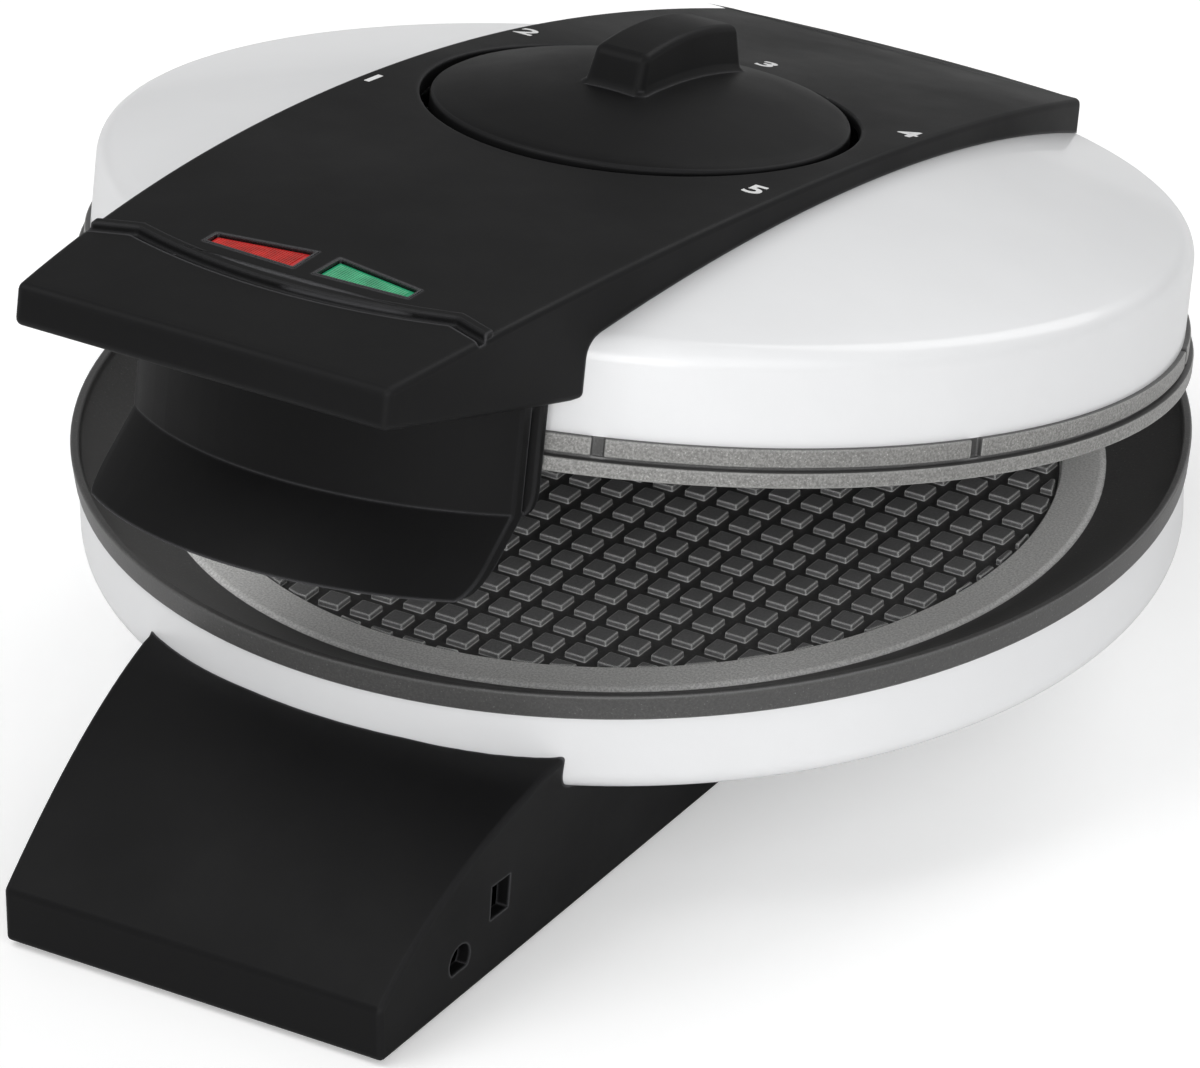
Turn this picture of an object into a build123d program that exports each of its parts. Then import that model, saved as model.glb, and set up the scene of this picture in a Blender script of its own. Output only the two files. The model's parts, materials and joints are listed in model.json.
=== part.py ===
from build123d import *
import os
from math import cos, hypot, radians, sin, sqrt

os.makedirs("parts", exist_ok=True)

# All sizes are in millimetres, with the lid closed; the front of the iron faces -Y.
# Places are counted from the upright axis through the middle of the baking plates.

# Reach of the stand and the handles, and the hinge
front_reach = 166.0
rear_reach = 136.0
hinge_reach = 126.0
hinge_z = 60.0
lid_ajar = 11.8

# Fits, and how far a cut runs past the face that it opens
running_fit = 0.06
seat_fit = 0.1
slip_fit = 0.3
plate_gap = 0.5
past = 1.0

# Lower baking plate
rim_radius = 118.0
rim_z = 57.9
rim_lip = 1.8
rim_slant = 0.4
rim_depth = 5.7
rim_taper = 0.6
ring_z = 49.5
ring_inner = 90.7
ring_outer = 99.0
ring_step = 0.7
apron_sag = 1.4
apron_top = 1.5
recess_depth = 1.8
plate_wall = 4.0
flange_width = 5.4
pad_size = 5.0
pad_pitch = 7.9
pad_rows = 24
pad_height = 1.3
pad_margin = 0.9

# Upper baking plate
lip_radius = 117.3
lip_height = 3.2
groove_height = 0.7
groove_depth = 2.1
collar_inset = 1.1
collar_height = 3.9
collar_overlap = 0.6
collar_taper = 1.5
waffle_gap = 3.8
lip_width = 4.0
notch_width = 2.6
notch_depth = 1.6
notch_angles = (28, 68)

# White housings
shell_wall = 2.4
shell_round = 4.0
lower_shell_radius = 116.5
lower_shell_height = 16.7
lower_dome_rise = 16.0
upper_shell_radius = 115.0
upper_shell_height = 19.4
upper_dome_rise = 15.9
dome_window_half = 43.0
dome_window_front = 96.0
dome_window_rear = 92.0
dome_window_round = 14.0

# Stand
foot_height = 1.2
stand_wall = 3.0
stand_front_half = 46.2
stand_waist_half = 43.4
stand_rear_half = 42.0
hip_z = 45.0
hip_front_half = 46.0
hip_waist_half = 52.8
hip_rear_half = 44.0
waist_y = -70.0
stand_nose_z = 13.2
stand_brow = (-142.0, 29.5)
stand_neck = (-105.0, 42.9)
rib_y = 74.0
rib_wall = 2.5
rib_base_z = 9.0
rib_gap_half = 20.0
stand_boss_x = 32.0
boss_radius = 5.5
slot_y = (-122.5, -115.0)
slot_z = (9.5, 20.5)
outlet_y = -134.5
outlet_z = 8.2
outlet_radius = 3.8
outlet_flat = 3.2
column_half = 42.0
column_front = 118.4
column_top = 53.0
column_wall = 2.6
ear_radius = 6.5
ear_inner = 31.0
ear_outer = 42.0
inlet_x = 24.0
inlet_z = 15.0

# Base cover, its posts and the feet
cover_wall = 2.4
post_radius = 3.6
cover_posts = ((37.0, -138.0), (33.0, 98.0))
foot_radius = 7.0
foot_sink = 1.1
foot_bevel = 0.6
foot_places = ((26.0, -150.0), (28.0, 116.0))

# Hinge
pin_radius = 3.0
pin_head_radius = 4.6
pin_head = 1.5
pin_bevel = 0.5
knuckle_gap = 0.4
knuckle_inner = 18.0
bracket_reach = 119.5
bracket_web_z = 68.0
bracket_top_z = 82.5
bracket_heel = 3.5
bracket_root = 2.5
bracket_gusset = 5.5
bracket_screw_x = (20.5, 27.0)
bracket_screw_z = 77.5

# Heating elements and their shields
element_radius = 68.0
tube_radius = 3.3
element_gap_angle = 60.0
leg_bend = 6.0
lower_leg = 1.5
upper_leg = 8.0
clamp_wall = 0.8
clamp_width = 9.0
clamp_foot = 5.0
clamp_angles = (-90, 10, 170)
shield_wall = 0.8
lower_shield_radius = 96.0
upper_shield_radius = 107.0
lower_boss_drop = 8.4
upper_boss_rise = 10.3
fuse_radius = 2.5
fuse_length = 22.0
fuse_y = -36.0
fuse_bevel = 0.6
fuse_wire_radius = 0.6
fuse_wire = 5.5

# Screws
screw_radius = 1.9
screw_head_radius = 3.7
screw_head = 2.2
small_screw_radius = 1.4
small_head_radius = 2.7
small_head = 1.6
screw_cross = 0.9
screw_cross_share = 1.3
thread_grip = 6.0
plate_screw_half = 36.8

# Arched band with the upper handle
band_wall = 2.8
band_front_half = 44.2
band_mid_half = 53.0
band_mid_y = -22.0
band_rear_half = 44.8
band_rear = 104.0
band_rear_bulge = 6.9
crown_y = -6.0
crown_z = 103.1
nose_top_z = 87.6
tail_top_z = 93.6
nose_bottom_z = 79.0
throat_y = -106.0
throat_z = 73.4
throat_wall_z = 86.4
band_edge_round = 1.1

# Rib between the band and the handle
rib_front_y = -138.2
rib_end_half = 38.0
rib_end_y = -132.4
rib_tip_half = 46.5
rib_tip_y = -135.6
rib_width = 2.6
rib_rise = 0.9
furrow_width = 2.4
furrow_depth = 1.0

# Knob, its well and its shaft
well_radius = 46.0
well_wall = 2.4
well_floor_z = 97.5
knob_radius = 43.9
knob_bottom_z = 98.3
knob_edge_z = 103.0
knob_dome_z = 110.0
knob_skin = 2.6
knob_bevel = 0.7
grip_y = 2.0
grip_base_z = 106.0
grip_base_half = 21.6
grip_base_width = 14.4
grip_top_half = 17.6
grip_top_width = 12.6
grip_shoulder_z = 116.2
grip_top_z = 119.2
grip_corner = 2.2
grip_round = 1.2
hub_radius = 7.0
hub_bottom_z = 89.0
hub_hole_radius = 8.3
shaft_radius = 3.0
shaft_top_z = 98.6
shaft_bevel = 0.4
band_screw_reach = 28.0
band_boss_radius = 6.0
band_screw_seat_z = 93.5
clip_height = 0.9
clip_groove = 0.8
clip_overlap = 0.8
clip_gap = 5.0

# Thermostat
thermostat_size = (30.0, 26.0, 12.0)
thermostat_neck_radius = 5.2
thermostat_neck = 5.4
thermostat_bore = 6.0
thermostat_round = 1.0
strap_wall = 1.0
strap_width = 12.0
strap_foot = 9.0

# Lamp windows, mirrored left and right
window_corners = ((2.4, -121.6), (24.6, -125.4), (24.6, -130.4), (2.2, -131.2))
bezel_wall = 1.5
bezel_proud = 0.35
bezel_flange = 1.2
lens_sunk = 0.9
lens_ledge = 0.8
holder_half = 26.0
holder_y = (-137.5, -120.5)
holder_depth = 14.0
holder_wall = 1.8
lamp_radius = 1.5
lamp_length = 7.0
lamp_round = 1.35
lamp_x = 9.0
lamp_y = -126.9

# Handle cover and finger guard
cover_lid_wall = 2.5
handle_screw_x = 32.0
handle_screw_y = -152.0
guard_half = 45.8
guard_bow_radius = 70.2
guard_front_y = -134.8
guard_wall = 2.6
guard_kink_z = 51.2
guard_lip_z = 36.2
guard_flare = 14.6
guard_flare_wall = 3.6
guard_corner = 6.0
guard_roof = 2.2
inner_guard_radius = 118.8
inner_guard_wall = 2.2
inner_guard_half = 46.5
inner_guard_bottom = 49.3
guard_screw_x = 30.2
guard_screw_y = -120.6

# Leads, terminals and bush
lead_radius = 2.2
lead_x = 12.0
lead_low_z = 11.0
lead_bend = 6.5
lead_entry_z = 74.0
lead_entry_reach = 24.0
terminal_size = (34.0, 15.0, 13.0)
terminal_y = 92.0
terminal_pole_radius = 2.0
terminal_pitch = 11.3
terminal_round = 1.0
bush_radius = 6.0
bush_flange = 8.2
bush_flange_wall = 2.0
bush_bore = 3.6
bush_inner = 5.0
bush_bevel = 0.7

# Places that follow from the sizes above
axis_y = (front_reach - rear_reach - bush_flange_wall - seat_fit) / 2
floor_z = ring_z - recess_depth
under_z = floor_z - plate_wall
flange_z = rim_z - rim_depth
lip_z = rim_z + plate_gap
collar_z = lip_z + lip_height + groove_height
upper_open_z = collar_z + collar_height
upper_ring_z = ring_z + waffle_gap
upper_floor_z = upper_ring_z + recess_depth
upper_back_z = upper_floor_z + plate_wall
lower_edge_z = flange_z - lower_shell_height
lower_apex_z = lower_edge_z - lower_dome_rise
upper_edge_z = upper_open_z + upper_shell_height
upper_apex_z = upper_edge_z + upper_dome_rise
lower_boss_z = under_z - lower_boss_drop
upper_boss_z = upper_back_z + upper_boss_rise
lower_shield_z = lower_boss_z - seat_fit - shield_wall
upper_shield_z = upper_boss_z + seat_fit
lower_tube_z = under_z - tube_radius - seat_fit
upper_tube_z = upper_back_z + tube_radius + seat_fit
pin_hole_radius = pin_radius + running_fit
cover_z = foot_height
cover_top_z = cover_z + cover_wall
tail_y = band_rear + band_rear_bulge
lens_depth = band_wall + seat_fit + bezel_flange + seat_fit
block_z = upper_shield_z + shield_wall + seat_fit
block_top_z = block_z + thermostat_size[2]
neck_top_z = block_top_z + thermostat_neck
plate_screw_points = [
    (x, y)
    for x in (-plate_screw_half, plate_screw_half)
    for y in (-plate_screw_half, plate_screw_half)
]
stand_screw_points = [(x, y) for x in (-stand_boss_x, stand_boss_x) for y in (-rib_y, rib_y)]
band_screw_points = [
    (x, crown_y + y)
    for x in (-band_screw_reach, band_screw_reach)
    for y in (-band_screw_reach, band_screw_reach)
]
cover_screw_points = [(side * x, y) for x, y in cover_posts for side in (-1, 1)]
foot_points = [(side * x, y) for x, y in foot_places for side in (-1, 1)]
bracket_screw_points = [(side * x, bracket_screw_z) for x in bracket_screw_x for side in (-1, 1)]
bracket_wall_y = sqrt(upper_shell_radius**2 - (bracket_screw_x[1] + boss_radius) ** 2)
handle_screw_points = [(-handle_screw_x, handle_screw_y), (handle_screw_x, handle_screw_y)]
guard_screw_points = [(-guard_screw_x, guard_screw_y), (guard_screw_x, guard_screw_y)]

plate_axis = Axis((0, axis_y, 0), (0, 0, 1))
hinge_axis = Axis((0, axis_y + hinge_reach, hinge_z), (1, 0, 0))
section = Plane(origin=(0, axis_y, 0), x_dir=(1, 0, 0), z_dir=(0, -1, 0))


# Helpers

def level(height):
    """The horizontal plane at a height, centred on the baking plates."""
    return Plane((0, axis_y, height))


def upright(x):
    """The plane across X: its own x runs to the rear and its own y runs up."""
    return Plane(origin=(x, axis_y, 0), x_dir=(0, 1, 0), z_dir=(1, 0, 0))


def radial(angle):
    """The upright plane through the plates' axis at an angle from +X."""
    turn = radians(angle)
    return Plane(origin=(0, axis_y, 0), x_dir=(cos(turn), sin(turn), 0), z_dir=(sin(turn), -cos(turn), 0))


def facing_rear(y):
    """The upright plane at a reach, facing the rear: its own x runs to -X and its own y runs up."""
    return Plane(origin=(0, axis_y + y, 0), x_dir=(-1, 0, 0), z_dir=(0, 1, 0))


def sag(radius, reach):
    """How far an arc of a radius falls away at a reach from its top."""
    return radius - sqrt(radius**2 - reach**2)


def bow_radius(reach, rise):
    """Radius of the arc that falls by a rise over a reach from its top."""
    return (reach**2 + rise**2) / (2 * rise)


def lower_dome(reach):
    """Height of the lower housing's outside at a reach from the plates' axis."""
    return lower_apex_z + sag(bow_radius(lower_shell_radius, lower_dome_rise), reach)


def crown(y):
    """Height of the band's top at a place along it."""
    if y < crown_y:
        radius = bow_radius(front_reach + crown_y, crown_z - nose_top_z)
    else:
        radius = bow_radius(band_rear - crown_y, crown_z - tail_top_z)
    return crown_z - sag(radius, abs(y - crown_y))


def handle_bottom(y):
    """Height of the handle's underside at a place along it."""
    share = (y + front_reach) / (throat_y + front_reach)
    return nose_bottom_z + share * (throat_z - nose_bottom_z)


def opened(part):
    """A lid piece turned from closed to the rest position, with its label."""
    turned = part.rotate(hinge_axis, -lid_ajar)
    turned.label = part.label
    return turned


def shell_form(radius, open_z, edge_z, apex_z, edge_round):
    """A solid drum with a domed end, the form of a white housing."""
    side = 1 if apex_z > edge_z else -1
    bow_z = apex_z - side * sag(bow_radius(radius, abs(apex_z - edge_z)), radius / 2)
    with BuildPart() as form:
        with BuildSketch(section):
            with BuildLine():
                Polyline((0, apex_z), (0, open_z), (radius, open_z), (radius, edge_z))
                ThreePointArc((radius, edge_z), (radius / 2, bow_z), (0, apex_z))
            make_face()
        revolve(axis=plate_axis)
        circles = form.edges().filter_by(GeomType.CIRCLE)
        fillet(circles.sort_by_distance((radius, axis_y, edge_z))[0], edge_round)
    return form.part


def lower_shell(grow):
    """The lower housing's outer form, grown by a fit."""
    return shell_form(
        lower_shell_radius + grow, flange_z + grow, lower_edge_z - grow, lower_apex_z - grow, shell_round
    )


def upper_shell(grow):
    """The upper housing's outer form, grown by a fit."""
    return shell_form(
        upper_shell_radius + grow, upper_open_z - grow, upper_edge_z + grow, upper_apex_z + grow, shell_round
    )


def screw_set(points, seat_z, shank, length, head, head_height, up):
    """Cross-headed screws whose heads sit at a height; up is 1 where they point up, -1 down."""
    with BuildPart() as screws:
        with BuildSketch(level(seat_z)):
            with Locations(*points):
                Circle(head)
        extrude(amount=-up * head_height)
        with BuildSketch(level(seat_z)):
            with Locations(*points):
                Circle(shank)
        extrude(amount=up * length)
        with BuildSketch(level(seat_z - up * head_height)):
            with Locations(*points):
                Rectangle(head * screw_cross_share, screw_cross)
                Rectangle(screw_cross, head * screw_cross_share)
        extrude(amount=up * head_height / 2, mode=Mode.SUBTRACT)
    return screws.part


def heating_element(tube_z, leg, up):
    """A tubular element bent to an open ring, with its ends turned up (up 1) or down (-1)."""
    start = radians(90 + element_gap_angle / 2)
    end = radians(90 - element_gap_angle / 2 + 360)
    ring = element_radius

    def ring_point(turn):
        return Vector(ring * cos(turn), axis_y + ring * sin(turn), tube_z)

    def end_leg(turn, way):
        """Bend and leg at one end; way is the direction in which the tube leaves the ring."""
        foot = ring_point(turn)
        along = Vector(-sin(turn), cos(turn), 0) * way
        rise = Vector(0, 0, up)
        middle = foot + along * (leg_bend * sin(radians(45))) + rise * (leg_bend * (1 - cos(radians(45))))
        top = foot + along * leg_bend + rise * leg_bend
        return foot, middle, top, top + rise * leg

    foot_a, middle_a, top_a, tip_a = end_leg(start, -1)
    foot_b, middle_b, top_b, tip_b = end_leg(end, 1)
    with BuildPart() as element:
        with BuildLine() as path:
            Line(tip_a, top_a)
            ThreePointArc(top_a, middle_a, foot_a)
            ThreePointArc(foot_a, ring_point((start + end) / 2), foot_b)
            ThreePointArc(foot_b, middle_b, top_b)
            Line(top_b, tip_b)
        with BuildSketch(Plane(origin=path.line @ 0, z_dir=path.line % 0)):
            Circle(tube_radius)
        sweep(path=path.line)
    return element.part


def element_clamps(seat_z, up):
    """Bent straps that hold the element to a plate whose back is at a height; up 1 is above it."""
    inner = tube_radius + slip_fit
    outer = inner + clamp_wall
    depth = 2 * tube_radius + 2 * seat_fit
    with BuildPart() as clamps:
        for angle in clamp_angles:
            with BuildSketch(radial(angle)):
                with BuildLine():
                    Polyline(
                        (element_radius - outer - clamp_foot, seat_z),
                        (element_radius - inner, seat_z),
                        (element_radius - inner, seat_z + up * depth),
                        (element_radius + inner, seat_z + up * depth),
                        (element_radius + inner, seat_z),
                        (element_radius + outer + clamp_foot, seat_z),
                        (element_radius + outer + clamp_foot, seat_z + up * clamp_wall),
                        (element_radius + outer, seat_z + up * clamp_wall),
                        (element_radius + outer, seat_z + up * (depth + clamp_wall)),
                        (element_radius - outer, seat_z + up * (depth + clamp_wall)),
                        (element_radius - outer, seat_z + up * clamp_wall),
                        (element_radius - outer - clamp_foot, seat_z + up * clamp_wall),
                        close=True,
                    )
                make_face()
            extrude(amount=clamp_width / 2, both=True)
    return clamps.part


def leg_points():
    """Places of the element's two legs, seen from above."""
    points = []
    for side in (-1, 1):
        turn = radians(90 + side * element_gap_angle / 2)
        x = element_radius * cos(turn) + side * leg_bend * sin(turn)
        y = element_radius * sin(turn) - side * leg_bend * cos(turn)
        points.append((x, y))
    return points


def pad_field(base_z, height):
    """Square pads inside the flat ring, raised from a height."""
    steps = [(step - (pad_rows - 1) / 2) * pad_pitch for step in range(pad_rows)]
    reach = ring_inner - pad_margin
    half = pad_size / 2
    places = [(x, y) for x in steps for y in steps if hypot(abs(x) - half, abs(y) - half) < reach - half]
    whole = [(x, y) for x, y in places if hypot(abs(x) + half, abs(y) + half) < reach]
    clipped = [place for place in places if place not in whole]
    with BuildPart() as pads:
        with BuildSketch(level(base_z)):
            with Locations(*clipped):
                Rectangle(pad_size, pad_size)
            Circle(reach, mode=Mode.INTERSECT)
            with Locations(*whole):
                Rectangle(pad_size, pad_size)
        extrude(amount=height)
    return pads.part


def stand_outline(front_half, waist_half, rear_half, inset):
    """Waisted outline of the stand, set in by an amount."""
    front = (front_half - inset, -front_reach + inset)
    waist = (waist_half - inset, waist_y)
    rear = (rear_half - inset, rear_reach - inset)
    left_front, left_waist, left_rear = [(-x, y) for x, y in (front, waist, rear)]
    with BuildSketch() as outline:
        with BuildLine():
            Line(left_front, front)
            ThreePointArc(front, waist, rear)
            Line(rear, left_rear)
            ThreePointArc(left_rear, left_waist, left_front)
        make_face()
    return outline.sketch


def stand_form(inset, bottom_z):
    """The stand's solid form, set in by a wall all round and on top."""
    brow_y, brow_z = stand_brow
    neck_y, neck_z = stand_neck
    with BuildPart() as form:
        with BuildSketch(level(bottom_z)):
            add(stand_outline(stand_front_half, stand_waist_half, stand_rear_half, inset))
        with BuildSketch(level(hip_z)):
            add(stand_outline(hip_front_half, hip_waist_half, hip_rear_half, inset))
        loft(ruled=True)
        with BuildSketch(upright(0)):
            with BuildLine():
                Polyline((-front_reach + inset, bottom_z), (-front_reach + inset, stand_nose_z - inset / 2))
                ThreePointArc(
                    (-front_reach + inset, stand_nose_z - inset / 2),
                    (brow_y + inset / 2, brow_z - inset),
                    (neck_y, neck_z - inset),
                )
                Polyline(
                    (neck_y, neck_z - inset),
                    (neck_y, hip_z),
                    (rear_reach - inset, hip_z),
                    (rear_reach - inset, bottom_z),
                    (-front_reach + inset, bottom_z),
                )
            make_face()
        extrude(amount=hip_waist_half + shell_wall, both=True, mode=Mode.INTERSECT)
    return form.part


def band_outline(inset):
    """Barrel-shaped outline of the band and handle, set in by an amount."""
    front = -front_reach + inset
    rear = band_rear - inset
    front_half = band_front_half - inset
    mid_half = band_mid_half - inset
    rear_half = band_rear_half - inset
    with BuildSketch() as outline:
        with BuildLine():
            Line((-front_half, front), (front_half, front))
            ThreePointArc((front_half, front), (mid_half, band_mid_y), (rear_half, rear))
            ThreePointArc((rear_half, rear), (0, rear + band_rear_bulge), (-rear_half, rear))
            ThreePointArc((-rear_half, rear), (-mid_half, band_mid_y), (-front_half, front))
        make_face()
    return outline.sketch


def arched_slab(lift, low_points):
    """A slab across the band, from its arched top line lifted by an amount down to given points."""
    front_mid = (crown_y - front_reach) / 2
    rear_mid = (crown_y + tail_y) / 2
    front_top = (-front_reach, crown(-front_reach) + lift)
    peak = (crown_y, crown_z + lift)
    rear_top = (tail_y, crown(tail_y) + lift)
    with BuildPart() as slab:
        with BuildSketch(upright(0)):
            with BuildLine():
                ThreePointArc(front_top, (front_mid, crown(front_mid) + lift), peak)
                ThreePointArc(peak, (rear_mid, crown(rear_mid) + lift), rear_top)
                Polyline(rear_top, *low_points, front_top)
            make_face()
        extrude(amount=band_mid_half + band_wall, both=True)
    return slab.part


def under_arch(lift):
    """Everything in the band's reach that lies below its arched top line, lifted by an amount."""
    return arched_slab(lift, [(tail_y, throat_z), (-front_reach, throat_z)])


def handle_slab(low, high):
    """The slab that follows the handle's underside, between two heights above it."""
    with BuildPart() as slab:
        with BuildSketch(upright(0)):
            with BuildLine():
                Polyline(
                    (-front_reach, handle_bottom(-front_reach) + low),
                    (throat_y, handle_bottom(throat_y) + low),
                    (throat_y, handle_bottom(throat_y) + high),
                    (-front_reach, handle_bottom(-front_reach) + high),
                    close=True,
                )
            make_face()
        extrude(amount=band_mid_half + band_wall, both=True)
    return slab.part


def window_outline(side, inset):
    """Outline of one lamp window, set in by an amount; side is 1 on the right and -1 on the left."""
    with BuildSketch() as outline:
        with BuildLine():
            Polyline(*[(side * x, y) for x, y in window_corners], close=True)
        make_face()
        if inset:
            offset(amount=-inset, kind=Kind.INTERSECTION, mode=Mode.REPLACE)
    return outline.sketch


def lead_part(points, bends):
    """A round lead along straight runs joined by arcs."""
    with BuildPart() as lead:
        with BuildLine() as path:
            FilletPolyline(*[(x, axis_y + y, z) for x, y, z in points], radius=bends)
        with BuildSketch(Plane(origin=path.line @ 0, z_dir=path.line % 0)):
            Circle(lead_radius)
        sweep(path=path.line)
    return lead.part


# Lower housing: white shell with bosses for the plate and the stand

plate_screw_seat_z = lower_dome(hypot(*plate_screw_points[0])) + 2 * shell_wall

with BuildPart() as lower_housing:
    add(lower_shell(0))
    inner_radius = lower_shell_radius - shell_wall
    inner_apex = lower_apex_z + shell_wall
    inner_edge = lower_edge_z + shell_wall
    add(
        shell_form(inner_radius, flange_z + shell_wall, inner_edge, inner_apex, shell_round - shell_wall / 2),
        mode=Mode.SUBTRACT,
    )
    for points in (plate_screw_points, stand_screw_points):
        boss_foot = lower_dome(hypot(*points[0])) + shell_wall / 2
        with BuildSketch(level(boss_foot)):
            with Locations(*points):
                Circle(boss_radius)
        extrude(amount=lower_shield_z - seat_fit - boss_foot)
    with BuildSketch(level(lower_apex_z)):
        with Locations(*plate_screw_points):
            Circle(screw_head_radius + slip_fit)
    extrude(amount=plate_screw_seat_z - lower_apex_z, mode=Mode.SUBTRACT)
    with BuildSketch(level(lower_apex_z - shell_wall)):
        with Locations(*plate_screw_points):
            Circle(screw_radius + slip_fit)
        with Locations(*stand_screw_points):
            Circle(screw_radius + running_fit)
    extrude(amount=lower_shield_z - lower_apex_z + 2 * shell_wall, mode=Mode.SUBTRACT)
    with BuildSketch(level(lower_apex_z - shell_wall)):
        with Locations((0, rib_y)):
            Circle(boss_radius)
    extrude(amount=2 * shell_wall + lower_dome_rise, mode=Mode.SUBTRACT)
lower_housing.part.label = "lower_housing"

# Lower plate: casting with rim, sloping apron, flat ring and a field of pads

with BuildPart() as lower_plate:
    apron_foot = (ring_outer + ring_step, ring_z - ring_step)
    apron_head = (rim_radius - rim_lip - rim_slant, rim_z - apron_top)
    apron_mid = ((apron_foot[0] + apron_head[0]) / 2, (apron_foot[1] + apron_head[1]) / 2 - apron_sag)
    with BuildSketch(section):
        with BuildLine():
            Polyline(
                (0, floor_z),
                (ring_inner, floor_z),
                (ring_inner, ring_z),
                (ring_outer, ring_z),
                apron_foot,
            )
            ThreePointArc(apron_foot, apron_mid, apron_head)
            Polyline(
                apron_head,
                (rim_radius - rim_lip, rim_z),
                (rim_radius, rim_z),
                (rim_radius, rim_z - rim_taper),
                (rim_radius - rim_taper, flange_z),
                (rim_radius - rim_taper - flange_width, flange_z),
                (ring_outer + plate_wall, under_z),
                (0, under_z),
                (0, floor_z),
            )
        make_face()
    revolve(axis=plate_axis)
    with BuildSketch(level(under_z)):
        with Locations(*plate_screw_points):
            Circle(boss_radius)
    extrude(amount=-lower_boss_drop)
    with BuildSketch(level(lower_boss_z)):
        with Locations(*plate_screw_points):
            Circle(screw_radius + running_fit)
    extrude(amount=lower_boss_drop, mode=Mode.SUBTRACT)
    add(pad_field(floor_z, pad_height), clean=False)
lower_plate.part.label = "lower_plate"

# Lower heating element with its straps, shield and fuse

with BuildPart() as lower_heating_element:
    add(heating_element(lower_tube_z, lower_leg, -1))
lower_heating_element.part.label = "lower_heating_element"

with BuildPart() as lower_element_clamps:
    add(element_clamps(under_z, -1))
lower_element_clamps.part.label = "lower_element_clamps"

with BuildPart() as lower_heat_shield:
    with BuildSketch(level(lower_shield_z)):
        Circle(lower_shield_radius)
        with Locations(*plate_screw_points):
            Circle(screw_radius + slip_fit, mode=Mode.SUBTRACT)
        with Locations(*leg_points()):
            Circle(tube_radius + 2 * slip_fit, mode=Mode.SUBTRACT)
    extrude(amount=shield_wall)
lower_heat_shield.part.label = "lower_heat_shield"

with BuildPart() as thermal_fuse:
    fuse_z = under_z - fuse_radius - seat_fit
    with BuildSketch(Plane(origin=(-fuse_length / 2, axis_y + fuse_y, fuse_z), z_dir=(1, 0, 0))):
        Circle(fuse_radius)
    extrude(amount=fuse_length)
    chamfer(thermal_fuse.edges().filter_by(GeomType.CIRCLE), fuse_bevel)
    for way in (-1, 1):
        with BuildSketch(Plane(origin=(way * fuse_length / 2, axis_y + fuse_y, fuse_z), z_dir=(way, 0, 0))):
            Circle(fuse_wire_radius)
        extrude(amount=fuse_wire)
thermal_fuse.part.label = "thermal_fuse"

with BuildPart() as lower_plate_screws:
    seat = plate_screw_seat_z - seat_fit
    reach = lower_boss_z + thread_grip - seat
    add(screw_set(plate_screw_points, seat, screw_radius, reach, screw_head_radius, screw_head, 1))
lower_plate_screws.part.label = "lower_plate_screws"

# Stand: hollow moulding, with the lower handle in front and the hinge column behind

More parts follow.
